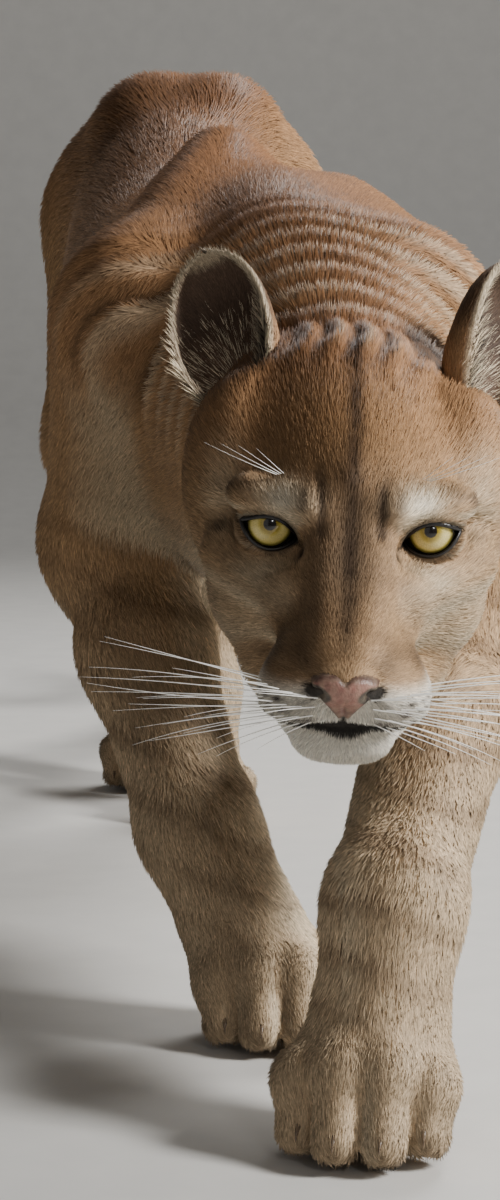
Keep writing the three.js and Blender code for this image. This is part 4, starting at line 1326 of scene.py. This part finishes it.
def lie_way(p, n):
    """The way the hair lies: back from the nose and along the trunk, down the limbs and out to the toes."""
    q = to_head(p)
    near = np.exp(-np.clip(barrel(p), 0, None) / 14)
    way = near[:, None] * vec(0.0, 1.0, -0.24)
    way = way + vec(0, 0.02, -0.01)
    for form, along, weight in LIMB_WAYS:
        near = weight * np.exp(-np.clip(form(p), 0, None) / 8) * (p[:, 1] < HIPS_BACK)
        way = way + along * near[:, None]
    for limb in LIMBS.values():
        px, py, _ = limb["paw"]
        near_paw = ramp(np.hypot(p[:, 0] - px, p[:, 1] - py), 80, 60) * ramp(p[:, 2], 84, 48)
        turn = math.radians(limb["heading"])
        toes = unit(vec(math.sin(turn), -math.cos(turn), -0.55))
        way = way + toes * (4 * near_paw)[:, None]
    share = head_share(p, q)
    away = unit(q - NOSE_TIP)
    away[:, 2] -= 0.30 * ramp(q[:, 2], -45, -75)
    off = unit((on_left(q) - vec(EYE["x"], EYE["y"] - 10, EYE["z"])) * vec(1, 0.4, 1))
    off[:, 0] *= np.sign(q[:, 0])
    ring = np.exp(-((np.clip(opening(q), 0, None) / 5.5) ** 2)) * (q[:, 1] < 20)
    away = away * (1 - 0.8 * ring)[:, None] + off * (1.3 * ring)[:, None]
    way = way * (1 - share)[:, None] + (away @ HEAD_SPIN.T) * (3 * share)[:, None]
    tail = ramp(p[:, 1], 730, 775)
    i = np.argmin(np.linalg.norm(p[:, None] - tail_points[None], axis=2), 1) if tail.any() else 0
    tangents = unit(np.gradient(tail_points, axis=0))
    way = way * (1 - tail)[:, None] + tangents[i] * (3 * tail)[:, None]
    swirl = 0.16 * np.stack([wobble(p, 60, 7.0), wobble(p, 70, 8.0), wobble(p, 65, 9.0)], 1)
    way = unit(way) + swirl * (1 - 0.6 * share)[:, None]
    return unit(way - n * (way * n).sum(1, keepdims=True))


LENGTHS = {"body": 15.0, "leg": 10.0, "neck": 8.5, "paw": 6.5, "belly": 5.0}
# On the head: how far back of the eyes, and how long the hair is there.
HEAD_LENGTHS = ((-90, -60, -30, 0, 40, 90, 160), (2.2, 3.0, 4.2, 5.5, 7.0, 8.0, 8.5))


def tuft_length(p):
    """How long the hair is, shortest on the face and paws, with more under the belly, cheeks and chin."""
    q = to_head(p)
    legs = ramp(p[:, 2], 330, 130) * (p[:, 1] < HIPS_BACK)
    length = LENGTHS["body"] + (LENGTHS["leg"] - LENGTHS["body"]) * legs
    neck = ramp(p[:, 1], 120, -40) * (1 - legs) * (p[:, 2] > 250)
    length = length + (LENGTHS["neck"] - length) * neck
    length = length + (LENGTHS["paw"] - length) * ramp(p[:, 2], 90, 45) * (p[:, 1] < HIPS_BACK)
    length = length + LENGTHS["belly"] * ramp(-p[:, 2] + 300, 0, 60) * (1 - legs) * (p[:, 1] > 0)
    back = np.clip(q[:, 1], -90, 160)
    on_head = np.interp(back, *HEAD_LENGTHS)
    on_head = on_head + 4.5 * blob(q, (56, 50, -55), (22, 30, 28))
    on_head = on_head + 2.6 * blob(q, (0, -50, -88), (26, 30, 12))
    front = np.flatnonzero((q[:, 1] < 10) & (p[:, 1] < AHEAD["mouth"]))
    lips = np.full(len(p), 50.0)
    lips[front] = from_line(q[front], LIPS)
    on_head = on_head * (1 - 0.6 * np.exp(-((lips / 4) ** 2)))
    on_head = on_head * (1 - 0.45 * np.exp(-((np.clip(opening(q), 0, None) / 7) ** 2)) * (back < 25))
    share = head_share(p, q)
    return length * (1 - share) + on_head * share


def tuft_width(length):
    return 0.3 + 0.045 * length


def region_of(p):
    """Which stretch of the coat a point belongs to."""
    q = to_head(p)
    out = np.full(len(p), "trunk_rear", object)
    out[p[:, 1] < 330] = "trunk_middle"
    out[p[:, 1] < 40] = "trunk_front"
    out[(p[:, 2] < 252) & (p[:, 1] < 200)] = "forelegs"
    out[(p[:, 2] < 300) & (p[:, 1] > 400)] = "hindlegs"
    out[(p[:, 2] < 70)] = "paws"
    out[p[:, 1] > TAIL_FROM] = "tail"
    head = (q[:, 1] < 130) & (p[:, 1] < -200) & (q[:, 2] > -118)
    out[head & (q[:, 0] < 0)] = "head_right"
    out[head & (q[:, 0] >= 0)] = "head_left"
    return out


def turn_about(x, y):
    return np.arctan2(x, -y) / (2 * math.pi) + 0.5


def unwrap(region, p):
    """Where each root falls on an unwrap of the skin: a globe for the head, open tubes for the rest."""
    if region.startswith("head"):
        q = to_head(p) - vec(0, 30, -25)
        far = np.linalg.norm(q, axis=1)
        return np.stack([turn_about(q[:, 0], q[:, 1]), np.arcsin(q[:, 2] / far) / math.pi + 0.5], 1)
    if region.startswith("trunk"):
        y = np.clip(p[:, 1], TRUNK[0, 0], TRUNK[-1, 0])
        x, top, low = (np.interp(y, TRUNK[:, 0], TRUNK[:, i]) for i in (1, 2, 3))
        return np.stack([turn_about(p[:, 0] - x, p[:, 2] - (top + low) / 2), (p[:, 1] + 400) / 1250], 1)
    if region == "tail":
        i = np.argmin(np.linalg.norm(p[:, None] - tail_points[None], axis=2), 1)
        off = p - tail_points[i]
        along = (p[:, 1] - 740) / 560
        return np.stack([turn_about(off[:, 0], off[:, 2]), along], 1)
    paws = np.array([limb["paw"][:2] for limb in LIMBS.values()], float)
    which = np.argmin(np.linalg.norm(p[:, None, :2] - paws[None], axis=2), 1)
    off = p[:, :2] - paws[which]
    if region == "paws":
        far = np.hypot(off[:, 0], off[:, 1])
        return np.stack([(which + turn_about(off[:, 0], off[:, 1])) / 4, (p[:, 2] + 60 - far) / 140], 1)
    spans = []
    for limb in LIMBS.values():
        joints = np.array([limb[k] for k in ("paw", "wrist", "elbow", "joint")], float)
        core = np.stack([np.interp(p[:, 2], joints[:, 2], joints[:, k]) for k in (0, 1)], 1)
        spans.append(p[:, :2] - core)
    far = np.stack([np.linalg.norm(s, axis=1) for s in spans], 1)
    which = np.argmin(far, 1)
    off = np.stack(spans, 1)[np.arange(len(p)), which]
    return np.stack([(which + turn_about(off[:, 0], off[:, 1])) / 4, p[:, 2] / 420], 1)


def scattered(points, faces, count, rng, weight=None):
    """Evenly scattered places on a mesh: the corners round each, and its share of each corner."""
    tris = np.concatenate([faces[:, :3], faces[:, [0, 2, 3]]])
    a, b, c = (points[tris[:, i]] for i in range(3))
    area = np.linalg.norm(np.cross(b - a, c - a), axis=1) / 2
    if weight is not None:
        area = area * weight[tris].mean(1)
    total = np.cumsum(area)
    pick = np.searchsorted(total, (np.arange(count) + rng.random(count)) / count * total[-1])
    pick = np.clip(pick, 0, len(tris) - 1)
    u, v = rng.random(count), rng.random(count)
    flip = u + v > 1
    u, v = np.where(flip, 1 - u, u), np.where(flip, 1 - v, v)
    return tris[pick], np.stack([1 - u - v, u, v], 1)


# How much of the bake map one tuft takes, how far apart in millimetres the tufts' streaks are picked,
# and the painted shade at the roots and painted light at the tips, as shares of each tuft's colour.
PATCH = 0.003
STREAKS_APART = 900
ROOT_SHADE_TIP_LIGHT = {"root": 0.8, "tip": 1.16}


def tufts(name, roots, normals, ways, lengths, widths, rises, colours, places, material, rng, sink=0.6):
    """One coat piece: a fine spike of three sides from each root, which lies along its way.

    A hair is under 0.1 mm thick, too fine to show, so each spike is a lock of hairs, 0.4 to 1 mm wide.
    """
    count = len(roots)
    across = unit(np.cross(normals, ways))
    spin = rng.normal(0, 0.13, count)[:, None]
    ways = unit(ways + across * spin)
    across = unit(np.cross(normals, ways))
    lengths = lengths * rng.uniform(0.7, 1.25, count)
    rises = rises * rng.uniform(0.55, 1.0, count)
    tip = roots + normals * rises[:, None] + ways * lengths[:, None]
    start = roots - normals * sink
    half = (widths / 2)[:, None]
    ridge = normals * (sink + widths * 0.45 + rises * 0.18)[:, None]
    points = np.stack([start - across * half, start + across * half, start + ridge, tip], 1)
    points[..., 2] = np.maximum(points[..., 2], FLOOR_GAP)
    points = points.reshape(-1, 3)
    one = np.array([(0, 1, 3), (1, 2, 3), (2, 0, 3)], np.int32)
    faces = (one[None] + 4 * np.arange(count, dtype=np.int32)[:, None, None]).reshape(-1, 3)
    # Painted shade at each tuft's three root corners and painted light at its tip.
    shade = np.array([ROOT_SHADE_TIP_LIGHT["root"]] * 3 + [ROOT_SHADE_TIP_LIGHT["tip"]])
    own = colours * (1 + rng.normal(0, 0.12, count))[:, None]
    tone = np.clip(own[:, None] * shade[None, :, None], 0, 1).reshape(-1, 3)
    obj = mesh_object(name, points, faces, material, tone)
    mesh = obj.data
    corner = faces.reshape(-1)
    side = np.array([-0.4, 0.4, 0, 0])
    along = np.array([-0.4, -0.4, -0.3, 0.4])
    patch = np.stack([side, along], 1) * PATCH
    uv = (0.02 + 0.96 * np.clip(places, 0, 1))[:, None] + patch[None]
    layer = mesh.uv_layers.new(name="OFBake")
    layer.data.foreach_set("uv", uv.reshape(-1, 2)[corner].astype(np.float32).ravel())
    streaks = side * widths[:, None] + rng.random(count)[:, None] * STREAKS_APART
    strand = np.stack([streaks, along * lengths[:, None]], -1)
    layer = mesh.uv_layers.new(name="Strand")
    layer.data.foreach_set("uv", strand.reshape(-1, 2)[corner].astype(np.float32).ravel())
    own_normals = vertex_normals(points, faces)
    soft = unit(own_normals * 0.4 + np.repeat(normals, 4, 0))
    mesh.normals_split_custom_set_from_vertices(soft.astype(np.float32))
    return obj


# Materials: one for each real finish.


def add_node(tree, kind, settings=None, links=None):
    """Adds a node, sets its sockets and properties by name, and links its inputs."""
    made_node = tree.nodes.new(kind)
    for name, value in (settings or {}).items():
        if name in made_node.inputs:
            made_node.inputs[name].default_value = value
        else:
            setattr(made_node, name, value)
    for name, source in (links or {}).items():
        tree.links.new(source, made_node.inputs[name])
    return made_node


def new_material(name):
    material = bpy.data.materials.new(name)
    material.use_nodes = True
    material.node_tree.nodes.clear()
    return material, material.node_tree


def finish_material(tree, shader):
    add_node(tree, "ShaderNodeOutputMaterial", links={"Surface": shader.outputs["BSDF"]})


def painted(tree, darkest, vector, scale, detail=3.0):
    """The painted colour, made uneven by a noise between `darkest` and full."""
    colour = add_node(tree, "ShaderNodeVertexColor", {"layer_name": COLOUR_LAYER})
    noise = add_node(tree, "ShaderNodeTexNoise", {"Scale": scale, "Detail": detail}, {"Vector": vector})
    level = add_node(
        tree,
        "ShaderNodeMapRange",
        {"From Min": 0.3, "From Max": 0.7, "To Min": darkest, "To Max": 2 - darkest},
        {"Value": noise.outputs["Fac"]},
    )
    links = {0: colour.outputs["Color"], "Scale": level.outputs["Result"]}
    return add_node(tree, "ShaderNodeVectorMath", {"operation": "SCALE"}, links)


def under_coat():
    """Dense woolly underfur on the skin: dull and softly mottled, which gives depth between the spikes.

    Its real hairs are about 0.02 mm thick, too fine to show, so the mottling is drawn 0.9 to 1.4 mm across.
    """
    material, tree = new_material("woolly_underfur")
    place = add_node(tree, "ShaderNodeTexCoord").outputs["Object"]
    tone = painted(tree, 0.72, place, 1 / (1.4 * MM))
    noise = {"Scale": 1 / (0.9 * MM), "Detail": 4.0}
    fine = add_node(tree, "ShaderNodeTexNoise", noise, {"Vector": place}).outputs["Fac"]
    bump = add_node(tree, "ShaderNodeBump", {"Strength": 0.55, "Distance": 0.6 * MM}, {"Height": fine})
    shader = add_node(
        tree,
        "ShaderNodeBsdfPrincipled",
        {"Roughness": 0.82, "Specular IOR Level": 0.25, "Sheen Weight": 0.04, "Sheen Roughness": 0.5},
        {"Base Color": tone.outputs["Vector"], "Normal": bump.outputs["Normal"]},
    )
    finish_material(tree, shader)
    return material


def guard_hair():
    """Lying guard hair: streaked along its length, with a soft gloss where it turns to the light.

    A guard hair is about 0.08 mm thick, too fine to show, so the streaks are drawn 0.3 mm across.
    """
    material, tree = new_material("lying_guard_hair")
    strand = add_node(tree, "ShaderNodeUVMap", {"uv_map": "Strand"})
    stretched = add_node(
        tree,
        "ShaderNodeMapping",
        {"vector_type": "POINT", "Scale": (1.0, 0.07, 1.0)},
        {"Vector": strand.outputs["UV"]},
    )
    along = stretched.outputs["Vector"]
    tone = painted(tree, 0.58, along, 1 / 0.3, 2.0)
    streak = add_node(tree, "ShaderNodeTexNoise", {"Scale": 1 / 0.3, "Detail": 1.0}, {"Vector": along})
    raised = {"Strength": 0.35, "Distance": 0.2 * MM}
    bump = add_node(tree, "ShaderNodeBump", raised, {"Height": streak.outputs["Fac"]})
    shader = add_node(
        tree,
        "ShaderNodeBsdfPrincipled",
        {"Roughness": 0.62, "Specular IOR Level": 0.22, "Sheen Weight": 0.03, "Sheen Roughness": 0.4},
        {"Base Color": tone.outputs["Vector"], "Normal": bump.outputs["Normal"]},
    )
    finish_material(tree, shader)
    return material


def wet_eye():
    """A wet cornea over the iris: one sharp, bright reflection, with fine radial mottling beneath."""
    material, tree = new_material("wet_cornea_over_iris")
    place = add_node(tree, "ShaderNodeTexCoord")
    tone = painted(tree, 0.86, place.outputs["Object"], 1 / (0.8 * MM), 2.0)
    shader = add_node(
        tree,
        "ShaderNodeBsdfPrincipled",
        {"Roughness": 0.18, "IOR": 1.376, "Coat Weight": 1.0, "Coat Roughness": 0.02, "Coat IOR": 1.376},
        {"Base Color": tone.outputs["Vector"]},
    )
    finish_material(tree, shader)
    return material


def moist_nose():
    """Moist nose leather: small flat pebbles about 0.9 mm across, with a broken, soft shine."""
    material, tree = new_material("moist_nose_leather")
    place = add_node(tree, "ShaderNodeTexCoord")
    tone = painted(tree, 0.8, place.outputs["Object"], 1 / (2.2 * MM), 4.0)
    scale = {"Scale": 1 / (0.95 * MM)}
    pebbles = add_node(tree, "ShaderNodeTexVoronoi", scale, {"Vector": place.outputs["Object"]})
    bump = add_node(
        tree,
        "ShaderNodeBump",
        {"Strength": 0.5, "Distance": 0.35 * MM, "invert": True},
        {"Height": pebbles.outputs["Distance"]},
    )
    shader = add_node(
        tree,
        "ShaderNodeBsdfPrincipled",
        {"Roughness": 0.42, "Specular IOR Level": 0.5},
        {"Base Color": tone.outputs["Vector"], "Normal": bump.outputs["Normal"]},
    )
    finish_material(tree, shader)
    return material


def plain_finish(name, colour, roughness, size, uneven, depth=0.0):
    """A finish of one colour with fine unevenness, `size` millimetres across."""
    material, tree = new_material(name)
    place = add_node(tree, "ShaderNodeTexCoord")
    scale = {"Scale": 1 / (size * MM), "Detail": 3.0}
    noise = add_node(tree, "ShaderNodeTexNoise", scale, {"Vector": place.outputs["Object"]})
    ramp_node = add_node(tree, "ShaderNodeValToRGB", links={"Fac": noise.outputs["Fac"]})
    stops = zip(ramp_node.color_ramp.elements, (0.3, 0.7), (1 - uneven, 1 + uneven))
    for stop, position, share in stops:
        stop.position = position
        stop.color = (*np.clip(colour * share, 0, 1), 1)
    links = {"Base Color": ramp_node.outputs["Color"]}
    if depth:
        raised = {"Strength": 0.5, "Distance": depth * MM}
        bump = add_node(tree, "ShaderNodeBump", raised, {"Height": noise.outputs["Fac"]})
        links["Normal"] = bump.outputs["Normal"]
    shader = add_node(tree, "ShaderNodeBsdfPrincipled", {"Roughness": roughness}, links)
    finish_material(tree, shader)
    return material


# The add-on: settings, one operator for each kind of piece, and the panel that lists them.

# What one operator makes and a later one grows the coat on.
made = {}


def keep_slot(obj, slot, *nodes):
    """Rides a piece on the body and hides the nodes that it stands for; its slot is not used."""
    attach(obj, "root")
    if nodes:
        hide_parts(*nodes)
    return obj


class CougarSettings(bpy.types.PropertyGroup):
    """What a user would change about the coat, the whiskers, the floor and the light."""

    tufts: bpy.props.IntProperty(
        name="Tufts",
        description="How many tufts are sown on the body, the ears' own left out",
        default=440000,
        min=1000,
        max=470000,
        subtype="UNSIGNED",
    )
    length: bpy.props.FloatProperty(
        name="Hair length",
        description="Length of the hair, as a share of its own",
        default=1.0,
        subtype="FACTOR",
    )
    width: bpy.props.FloatProperty(
        name="Tuft width",
        description="Width of the tufts, as a share of their own",
        default=1.0,
        subtype="FACTOR",
    )
    whisker: bpy.props.FloatVectorProperty(
        name="Whiskers",
        description="Colour of the whiskers",
        default=tuple(float(v) for v in PALETTE["whisker"]),
        subtype="COLOR",
    )
    floor: bpy.props.FloatVectorProperty(
        name="Floor",
        description="Colour of the studio floor",
        default=tuple(float(v) for v in PALETTE["floor"]),
        subtype="COLOR",
    )
    key_power: bpy.props.FloatProperty(
        name="Key light", description="Power of the large soft light", default=135.0, unit="POWER"
    )


FLESH = [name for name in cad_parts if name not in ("eye_left", "eye_right", "nose")]
# Painted shade: the skin under the coat is a little darker than the coat's colour, near the coat's middle
# tone.
SKIN_SHADE = 0.93
PIECE_TUFTS = 64000
EAR_TUFTS = 12000


class COUGAR_OT_skin(bpy.types.Operator):
    """Makes the skin with its ears, in place of all the nodes of flesh"""

    bl_idname = "cougar.skin"
    bl_label = "Skin"

    def execute(self, context):
        points, faces = skin_shape()
        normals = vertex_normals(points, faces)
        # The skin's colour with a little painted shade, as it lies under the coat.
        colours = coat_colour(points, normals) * SKIN_SHADE
        made["skin"] = (points, faces, normals)
        shapes, tones = [(points, faces)], [colours]
        for side in (-1, 1):
            ear_points, ear_faces, ear_colours, inner = ear_shape(side)
            made["ear", side] = (ear_points, ear_faces, ear_colours, inner)
            shapes.append((ear_points, ear_faces))
            tones.append(ear_colours)
        all_points, all_faces = merged(shapes)
        skin = mesh_object("skin", all_points, all_faces, under_coat(), np.concatenate(tones))
        keep_slot(skin, "coat", *FLESH)
        return {"FINISHED"}


class COUGAR_OT_eyes(bpy.types.Operator):
    """Makes the eyes, which look at the viewer, and the dark rims of their lids"""

    bl_idname = "cougar.eyes"
    bl_label = "Eyes"

    def execute(self, context):
        finish = wet_eye()
        # Bare dark skin, whose faint gleam sets the eye off from the fur.
        rim_finish = plain_finish("dark_lid_rim", PALETTE["rim"], 0.38, 1.2, 0.3, 0.2)
        for side, name in ((-1, "eye_right"), (1, "eye_left")):
            points, faces, colours = eye_shape(side)
            eye = mesh_object(f"{name}_ball", points, faces, finish, colours)
            keep_slot(eye, "eye", name)
            rim = mesh_object(f"{name}_lid_rim", *lid_rim(side), rim_finish)
            keep_slot(rim, "dark_coat")
        return {"FINISHED"}


class COUGAR_OT_nose(bpy.types.Operator):
    """Makes the nose pad with its nostrils"""

    bl_idname = "cougar.nose"
    bl_label = "Nose"

    def execute(self, context):
        points, faces, colours = nose_shape()
        nose = mesh_object("nose_pad", points, faces, moist_nose(), colours)
        keep_slot(nose, "nose_skin", "nose")
        return {"FINISHED"}


def bare(points, normals):
    """Where no tuft has its root: inside the lids, on the nose pad, in the nostrils and on the soles."""
    q = to_head(points)
    out = (opening(q) < 0.9) & (q[:, 1] < 18) & (np.abs(points[:, 1] - HEAD_AT[1]) < 110)
    out |= ((pad_outline(q) < -0.5) | (nostril_gap(q) < 1.2)) & (q[:, 1] < -62)
    return out | (points[:, 2] < 3) | ((normals[:, 2] < -0.85) & (points[:, 2] < 14))


def in_mouth(roots):
    """Which roots lie between the lips or on the lids' edges."""
    out = np.zeros(len(roots), bool)
    q = to_head(roots)
    near = (q[:, 1] < 20) & (roots[:, 1] < AHEAD["mouth"])
    q = q[near]
    wide = 2.1 + 2.0 * np.exp(-((q[:, 0] / 15) ** 2))
    out[near] = (from_line(q, LIPS) < wide) | (opening(q) < 1.2) & (q[:, 1] < 18)
    return out


def clear_of_lips(roots, ways, lengths):
    """The lengths with the hairs cut short whose tips would hang over the line of the mouth."""
    near = np.flatnonzero((roots[:, 1] < AHEAD["mouth"]) & (to_head(roots)[:, 1] < 20))
    tips = to_head(roots[near] + ways[near] * lengths[near, None])
    lengths[near] *= np.where(from_line(tips, LIPS) < 2.6, 0.3, 1.0)
    return lengths


class COUGAR_OT_coat(bpy.types.Operator):
    """Makes the coat: tufts that lie along the body, in a piece for each stretch of it"""

    bl_idname = "cougar.coat"
    bl_label = "Coat"

    def execute(self, context):
        settings = context.scene.cougar
        rng = np.random.default_rng(SEED)
        points, faces, normals = made["skin"]
        finish = guard_hair()
        length = tuft_length(points)
        crowding = 1 / (length * tuft_width(length)) ** 0.9 * (1 - 0.35 * ramp(points[:, 1], 60, 400))
        crowding[bare(points, normals)] = 0
        corners, shares = scattered(points, faces, settings.tufts, rng, crowding)
        roots = (points[corners] * shares[..., None]).sum(1)
        outward = unit((normals[corners] * shares[..., None]).sum(1))
        outside = ~in_mouth(roots)
        roots, outward = roots[outside], outward[outside]
        ways = lie_way(roots, outward)
        lengths = clear_of_lips(roots, ways, tuft_length(roots) * settings.length)
        widths = tuft_width(lengths) * settings.width
        rises = coat_depth(roots)
        tones = coat_colour(roots, outward)
        regions = region_of(roots)
        for region in sorted(set(regions)):
            chosen = np.flatnonzero(regions == region)
            chosen = chosen[np.argsort(roots[chosen, 1] + 0.3 * roots[chosen, 2])]
            for part, some in enumerate(np.array_split(chosen, len(chosen) // PIECE_TUFTS + 1)):
                coat = tufts(
                    f"coat_{region}_{part + 1}",
                    roots[some],
                    outward[some],
                    ways[some],
                    lengths[some],
                    widths[some],
                    rises[some],
                    tones[some],
                    unwrap(region, roots[some]),
                    finish,
                    rng,
                )
                keep_slot(coat, "coat")
        self.ears(finish, rng)
        return {"FINISHED"}

    def ears(self, finish, rng):
        """Short hair up the backs of the ears, and long pale hair across their mouths."""
        for side, name in ((-1, "right"), (1, "left")):
            points, faces, colours, inner = made["ear", side]
            normals = vertex_normals(points, faces)
            up = unit((vec(*EAR["tip"]) - vec(*EAR["base"])) * vec(side, 1, 1)) @ HEAD_SPIN.T
            corners, shares = scattered(points, faces, EAR_TUFTS, rng)
            roots = (points[corners] * shares[..., None]).sum(1)
            outward = unit((normals[corners] * shares[..., None]).sum(1))
            tones = (colours[corners] * shares[..., None]).sum(1)
            inside = inner[corners].mean(1) > 0.5
            ways = np.tile(up, (len(roots), 1))
            turn = math.radians(EAR["left"] if side > 0 else EAR["right"])
            facing = vec(side * math.sin(turn), -math.cos(turn), 0) @ HEAD_SPIN.T
            ways = ways + facing * (0.9 * inside)[:, None]
            ways = unit(ways - outward * (ways * outward).sum(1, keepdims=True))
            base = from_head((vec(*EAR["base"]) * vec(side, 1, 1))[None])
            low = ramp((roots - base) @ up, 50, 5)
            lengths = np.where(inside, 5 + 9 * low, 5.0)
            rises = np.where(inside, 0.9 + 1.8 * low, 0.7)
            tones = tones * (1 + 0.6 * (inside * rng.random(len(roots)) * low)[:, None])
            bright = (inside & (rng.random(len(roots)) < 0.26 * low))[:, None]
            tones = np.where(bright, PALETTE["pale"], tones)
            x, y = roots[:, 0], roots[:, 1]
            places = np.stack([turn_about(x - x.mean(), y - y.mean()), low], 1)
            widths = 0.3 + 0.03 * lengths
            coat = tufts(
                f"coat_ear_{name}",
                roots,
                outward,
                ways,
                lengths,
                widths,
                rises,
                tones,
                places,
                finish,
                rng,
                sink=0.3,
            )
            keep_slot(coat, "dark_coat")


class COUGAR_OT_whiskers(bpy.types.Operator):
    """Makes the whiskers on the muzzle and over the eyes"""

    bl_idname = "cougar.whiskers"
    bl_label = "Whiskers"

    def execute(self, context):
        points, faces = whisker_shape(np.random.default_rng(SEED + 1))
        colour = np.array(context.scene.cougar.whisker)
        # A stiff whisker: nearly white, with a smooth sheen that draws it as a bright line.
        finish = plain_finish("stiff_white_whisker", colour, 0.35, 3.0, 0.06)
        whiskers = mesh_object("whiskers", points, faces, finish)
        keep_slot(whiskers, "pale_coat")
        return {"FINISHED"}


class COUGAR_OT_claws(bpy.types.Operator):
    """Makes the tips of the claws, which barely show in the fur of the toes"""

    bl_idname = "cougar.claws"
    bl_label = "Claws"

    def execute(self, context):
        # Horn: brown and faintly ridged, so that the tips show against the toes.
        finish = plain_finish("horn_claw", PALETTE["claw"], 0.32, 1.0, 0.25, 0.1)
        claws = mesh_object("claws", *claw_shape(), finish)
        keep_slot(claws, "dark_coat")
        return {"FINISHED"}


# In pixels of the picture: the camera's focal length, the height, and how far over the middle level sight is.
LENS = {"focal": 2750.0, "height": 1200.0, "down": 270.0}
# In metres: how far the floor runs before and behind, its half width, and the radius it curves up with.
FLOOR = {"reach": 3.2, "half": 4.5, "bend": 1.6}
AIR = {"colour": (0.64, 0.64, 0.65, 1), "strength": 0.13}
# Each light: its place in metres from the shoulders, its share of the key's power and its size.
LIGHTS = (
    ("key_light", (2.3, -1.3, 1.8), 1.0, 0.7),
    ("back_light", (0.9, 1.9, 2.1), 0.42, 1.0),
    ("fill_light", (-1.2, -2.6, 0.9), 0.03, 1.8),
    ("catch_light", (0.55, -2.5, 1.15), 0.035, 0.2),
)
LIGHT_AIM = (0.05, -0.25, 0.28)


def floor_object(colour):
    """A wide floor, its far edge curved up out of sight."""
    # Matt paper: pale and even, so that the shadows under the paws stay soft.
    finish = plain_finish("matt_studio_floor", np.array(colour), 0.7, 40.0, 0.03)
    reach, half, bend = FLOOR["reach"], FLOOR["half"], FLOOR["bend"]
    run = [(-reach, 0.0)]
    run += [(reach + bend * math.sin(a), bend - bend * math.cos(a)) for a in np.linspace(0, 1.35, 24)]
    rows = np.array([[(x, y, z) for x in (-half, half)] for y, z in run])
    points = rows.reshape(-1, 3) / MM - SHIFT
    return mesh_object("floor", points, grid_faces(len(run), 2, closed=False), finish)


class COUGAR_OT_stage(bpy.types.Operator):
    """Sets the camera, the pale floor and the soft studio light"""

    bl_idname = "cougar.stage"
    bl_label = "Studio"

    def execute(self, context):
        scene = context.scene
        data = bpy.data.cameras.new("photo_camera")
        data.lens = LENS["focal"] / LENS["height"] * data.sensor_width
        data.dof.use_dof = False
        camera = bpy.data.objects.new("photo_camera", data)
        camera.location = (CAMERA_AT + SHIFT) * MM
        camera.rotation_euler = (math.radians(90) - math.atan(LENS["down"] / LENS["focal"]), 0, 0)
        scene.collection.objects.link(camera)
        scene.camera = camera
        middle = SHIFT * MM
        floor = floor_object(scene.cougar.floor)
        floor.location = (middle[0], middle[1], 0)
        power = scene.cougar.key_power
        aim = Vector(middle + vec(*LIGHT_AIM))
        for name, offset, share, size in LIGHTS:
            light = bpy.data.lights.new(name, "AREA")
            light.energy = power * share
            light.size = size
            lamp = bpy.data.objects.new(name, light)
            lamp.location = Vector(middle + vec(*offset))
            lamp.rotation_euler = (aim - lamp.location).to_track_quat("-Z", "Y").to_euler()
            scene.collection.objects.link(lamp)
        world = bpy.data.worlds.new("studio_air")
        world.use_nodes = True
        background = world.node_tree.nodes["Background"]
        background.inputs["Color"].default_value = AIR["colour"]
        background.inputs["Strength"].default_value = AIR["strength"]
        scene.world = world
        return {"FINISHED"}


class COUGAR_PT_panel(bpy.types.Panel):
    """Lists what the cougar is made of"""

    bl_idname = "COUGAR_PT_panel"
    bl_label = "Cougar"
    bl_space_type = "VIEW_3D"
    bl_region_type = "UI"
    bl_category = "Cougar"

    def draw(self, context):
        settings = context.scene.cougar
        column = self.layout.column(align=True)
        for name in ("tufts", "length", "width", "whisker", "floor", "key_power"):
            column.prop(settings, name)
        column = self.layout.column(align=True)
        for operator in OPERATORS:
            column.operator(operator.bl_idname)


OPERATORS = (
    COUGAR_OT_stage,
    COUGAR_OT_skin,
    COUGAR_OT_eyes,
    COUGAR_OT_nose,
    COUGAR_OT_coat,
    COUGAR_OT_whiskers,
    COUGAR_OT_claws,
)
CLASSES = (CougarSettings, *OPERATORS, COUGAR_PT_panel)


def register():
    for cls in CLASSES:
        bpy.utils.register_class(cls)
    bpy.types.Scene.cougar = bpy.props.PointerProperty(type=CougarSettings)


def unregister():
    del bpy.types.Scene.cougar
    for cls in reversed(CLASSES):
        bpy.utils.unregister_class(cls)


def main():
    register()
    bpy.ops.cougar.stage()
    bpy.ops.cougar.skin()
    bpy.ops.cougar.eyes()
    bpy.ops.cougar.nose()
    bpy.ops.cougar.coat()
    bpy.ops.cougar.whiskers()
    bpy.ops.cougar.claws()


if __name__ == "__main__":
    main()
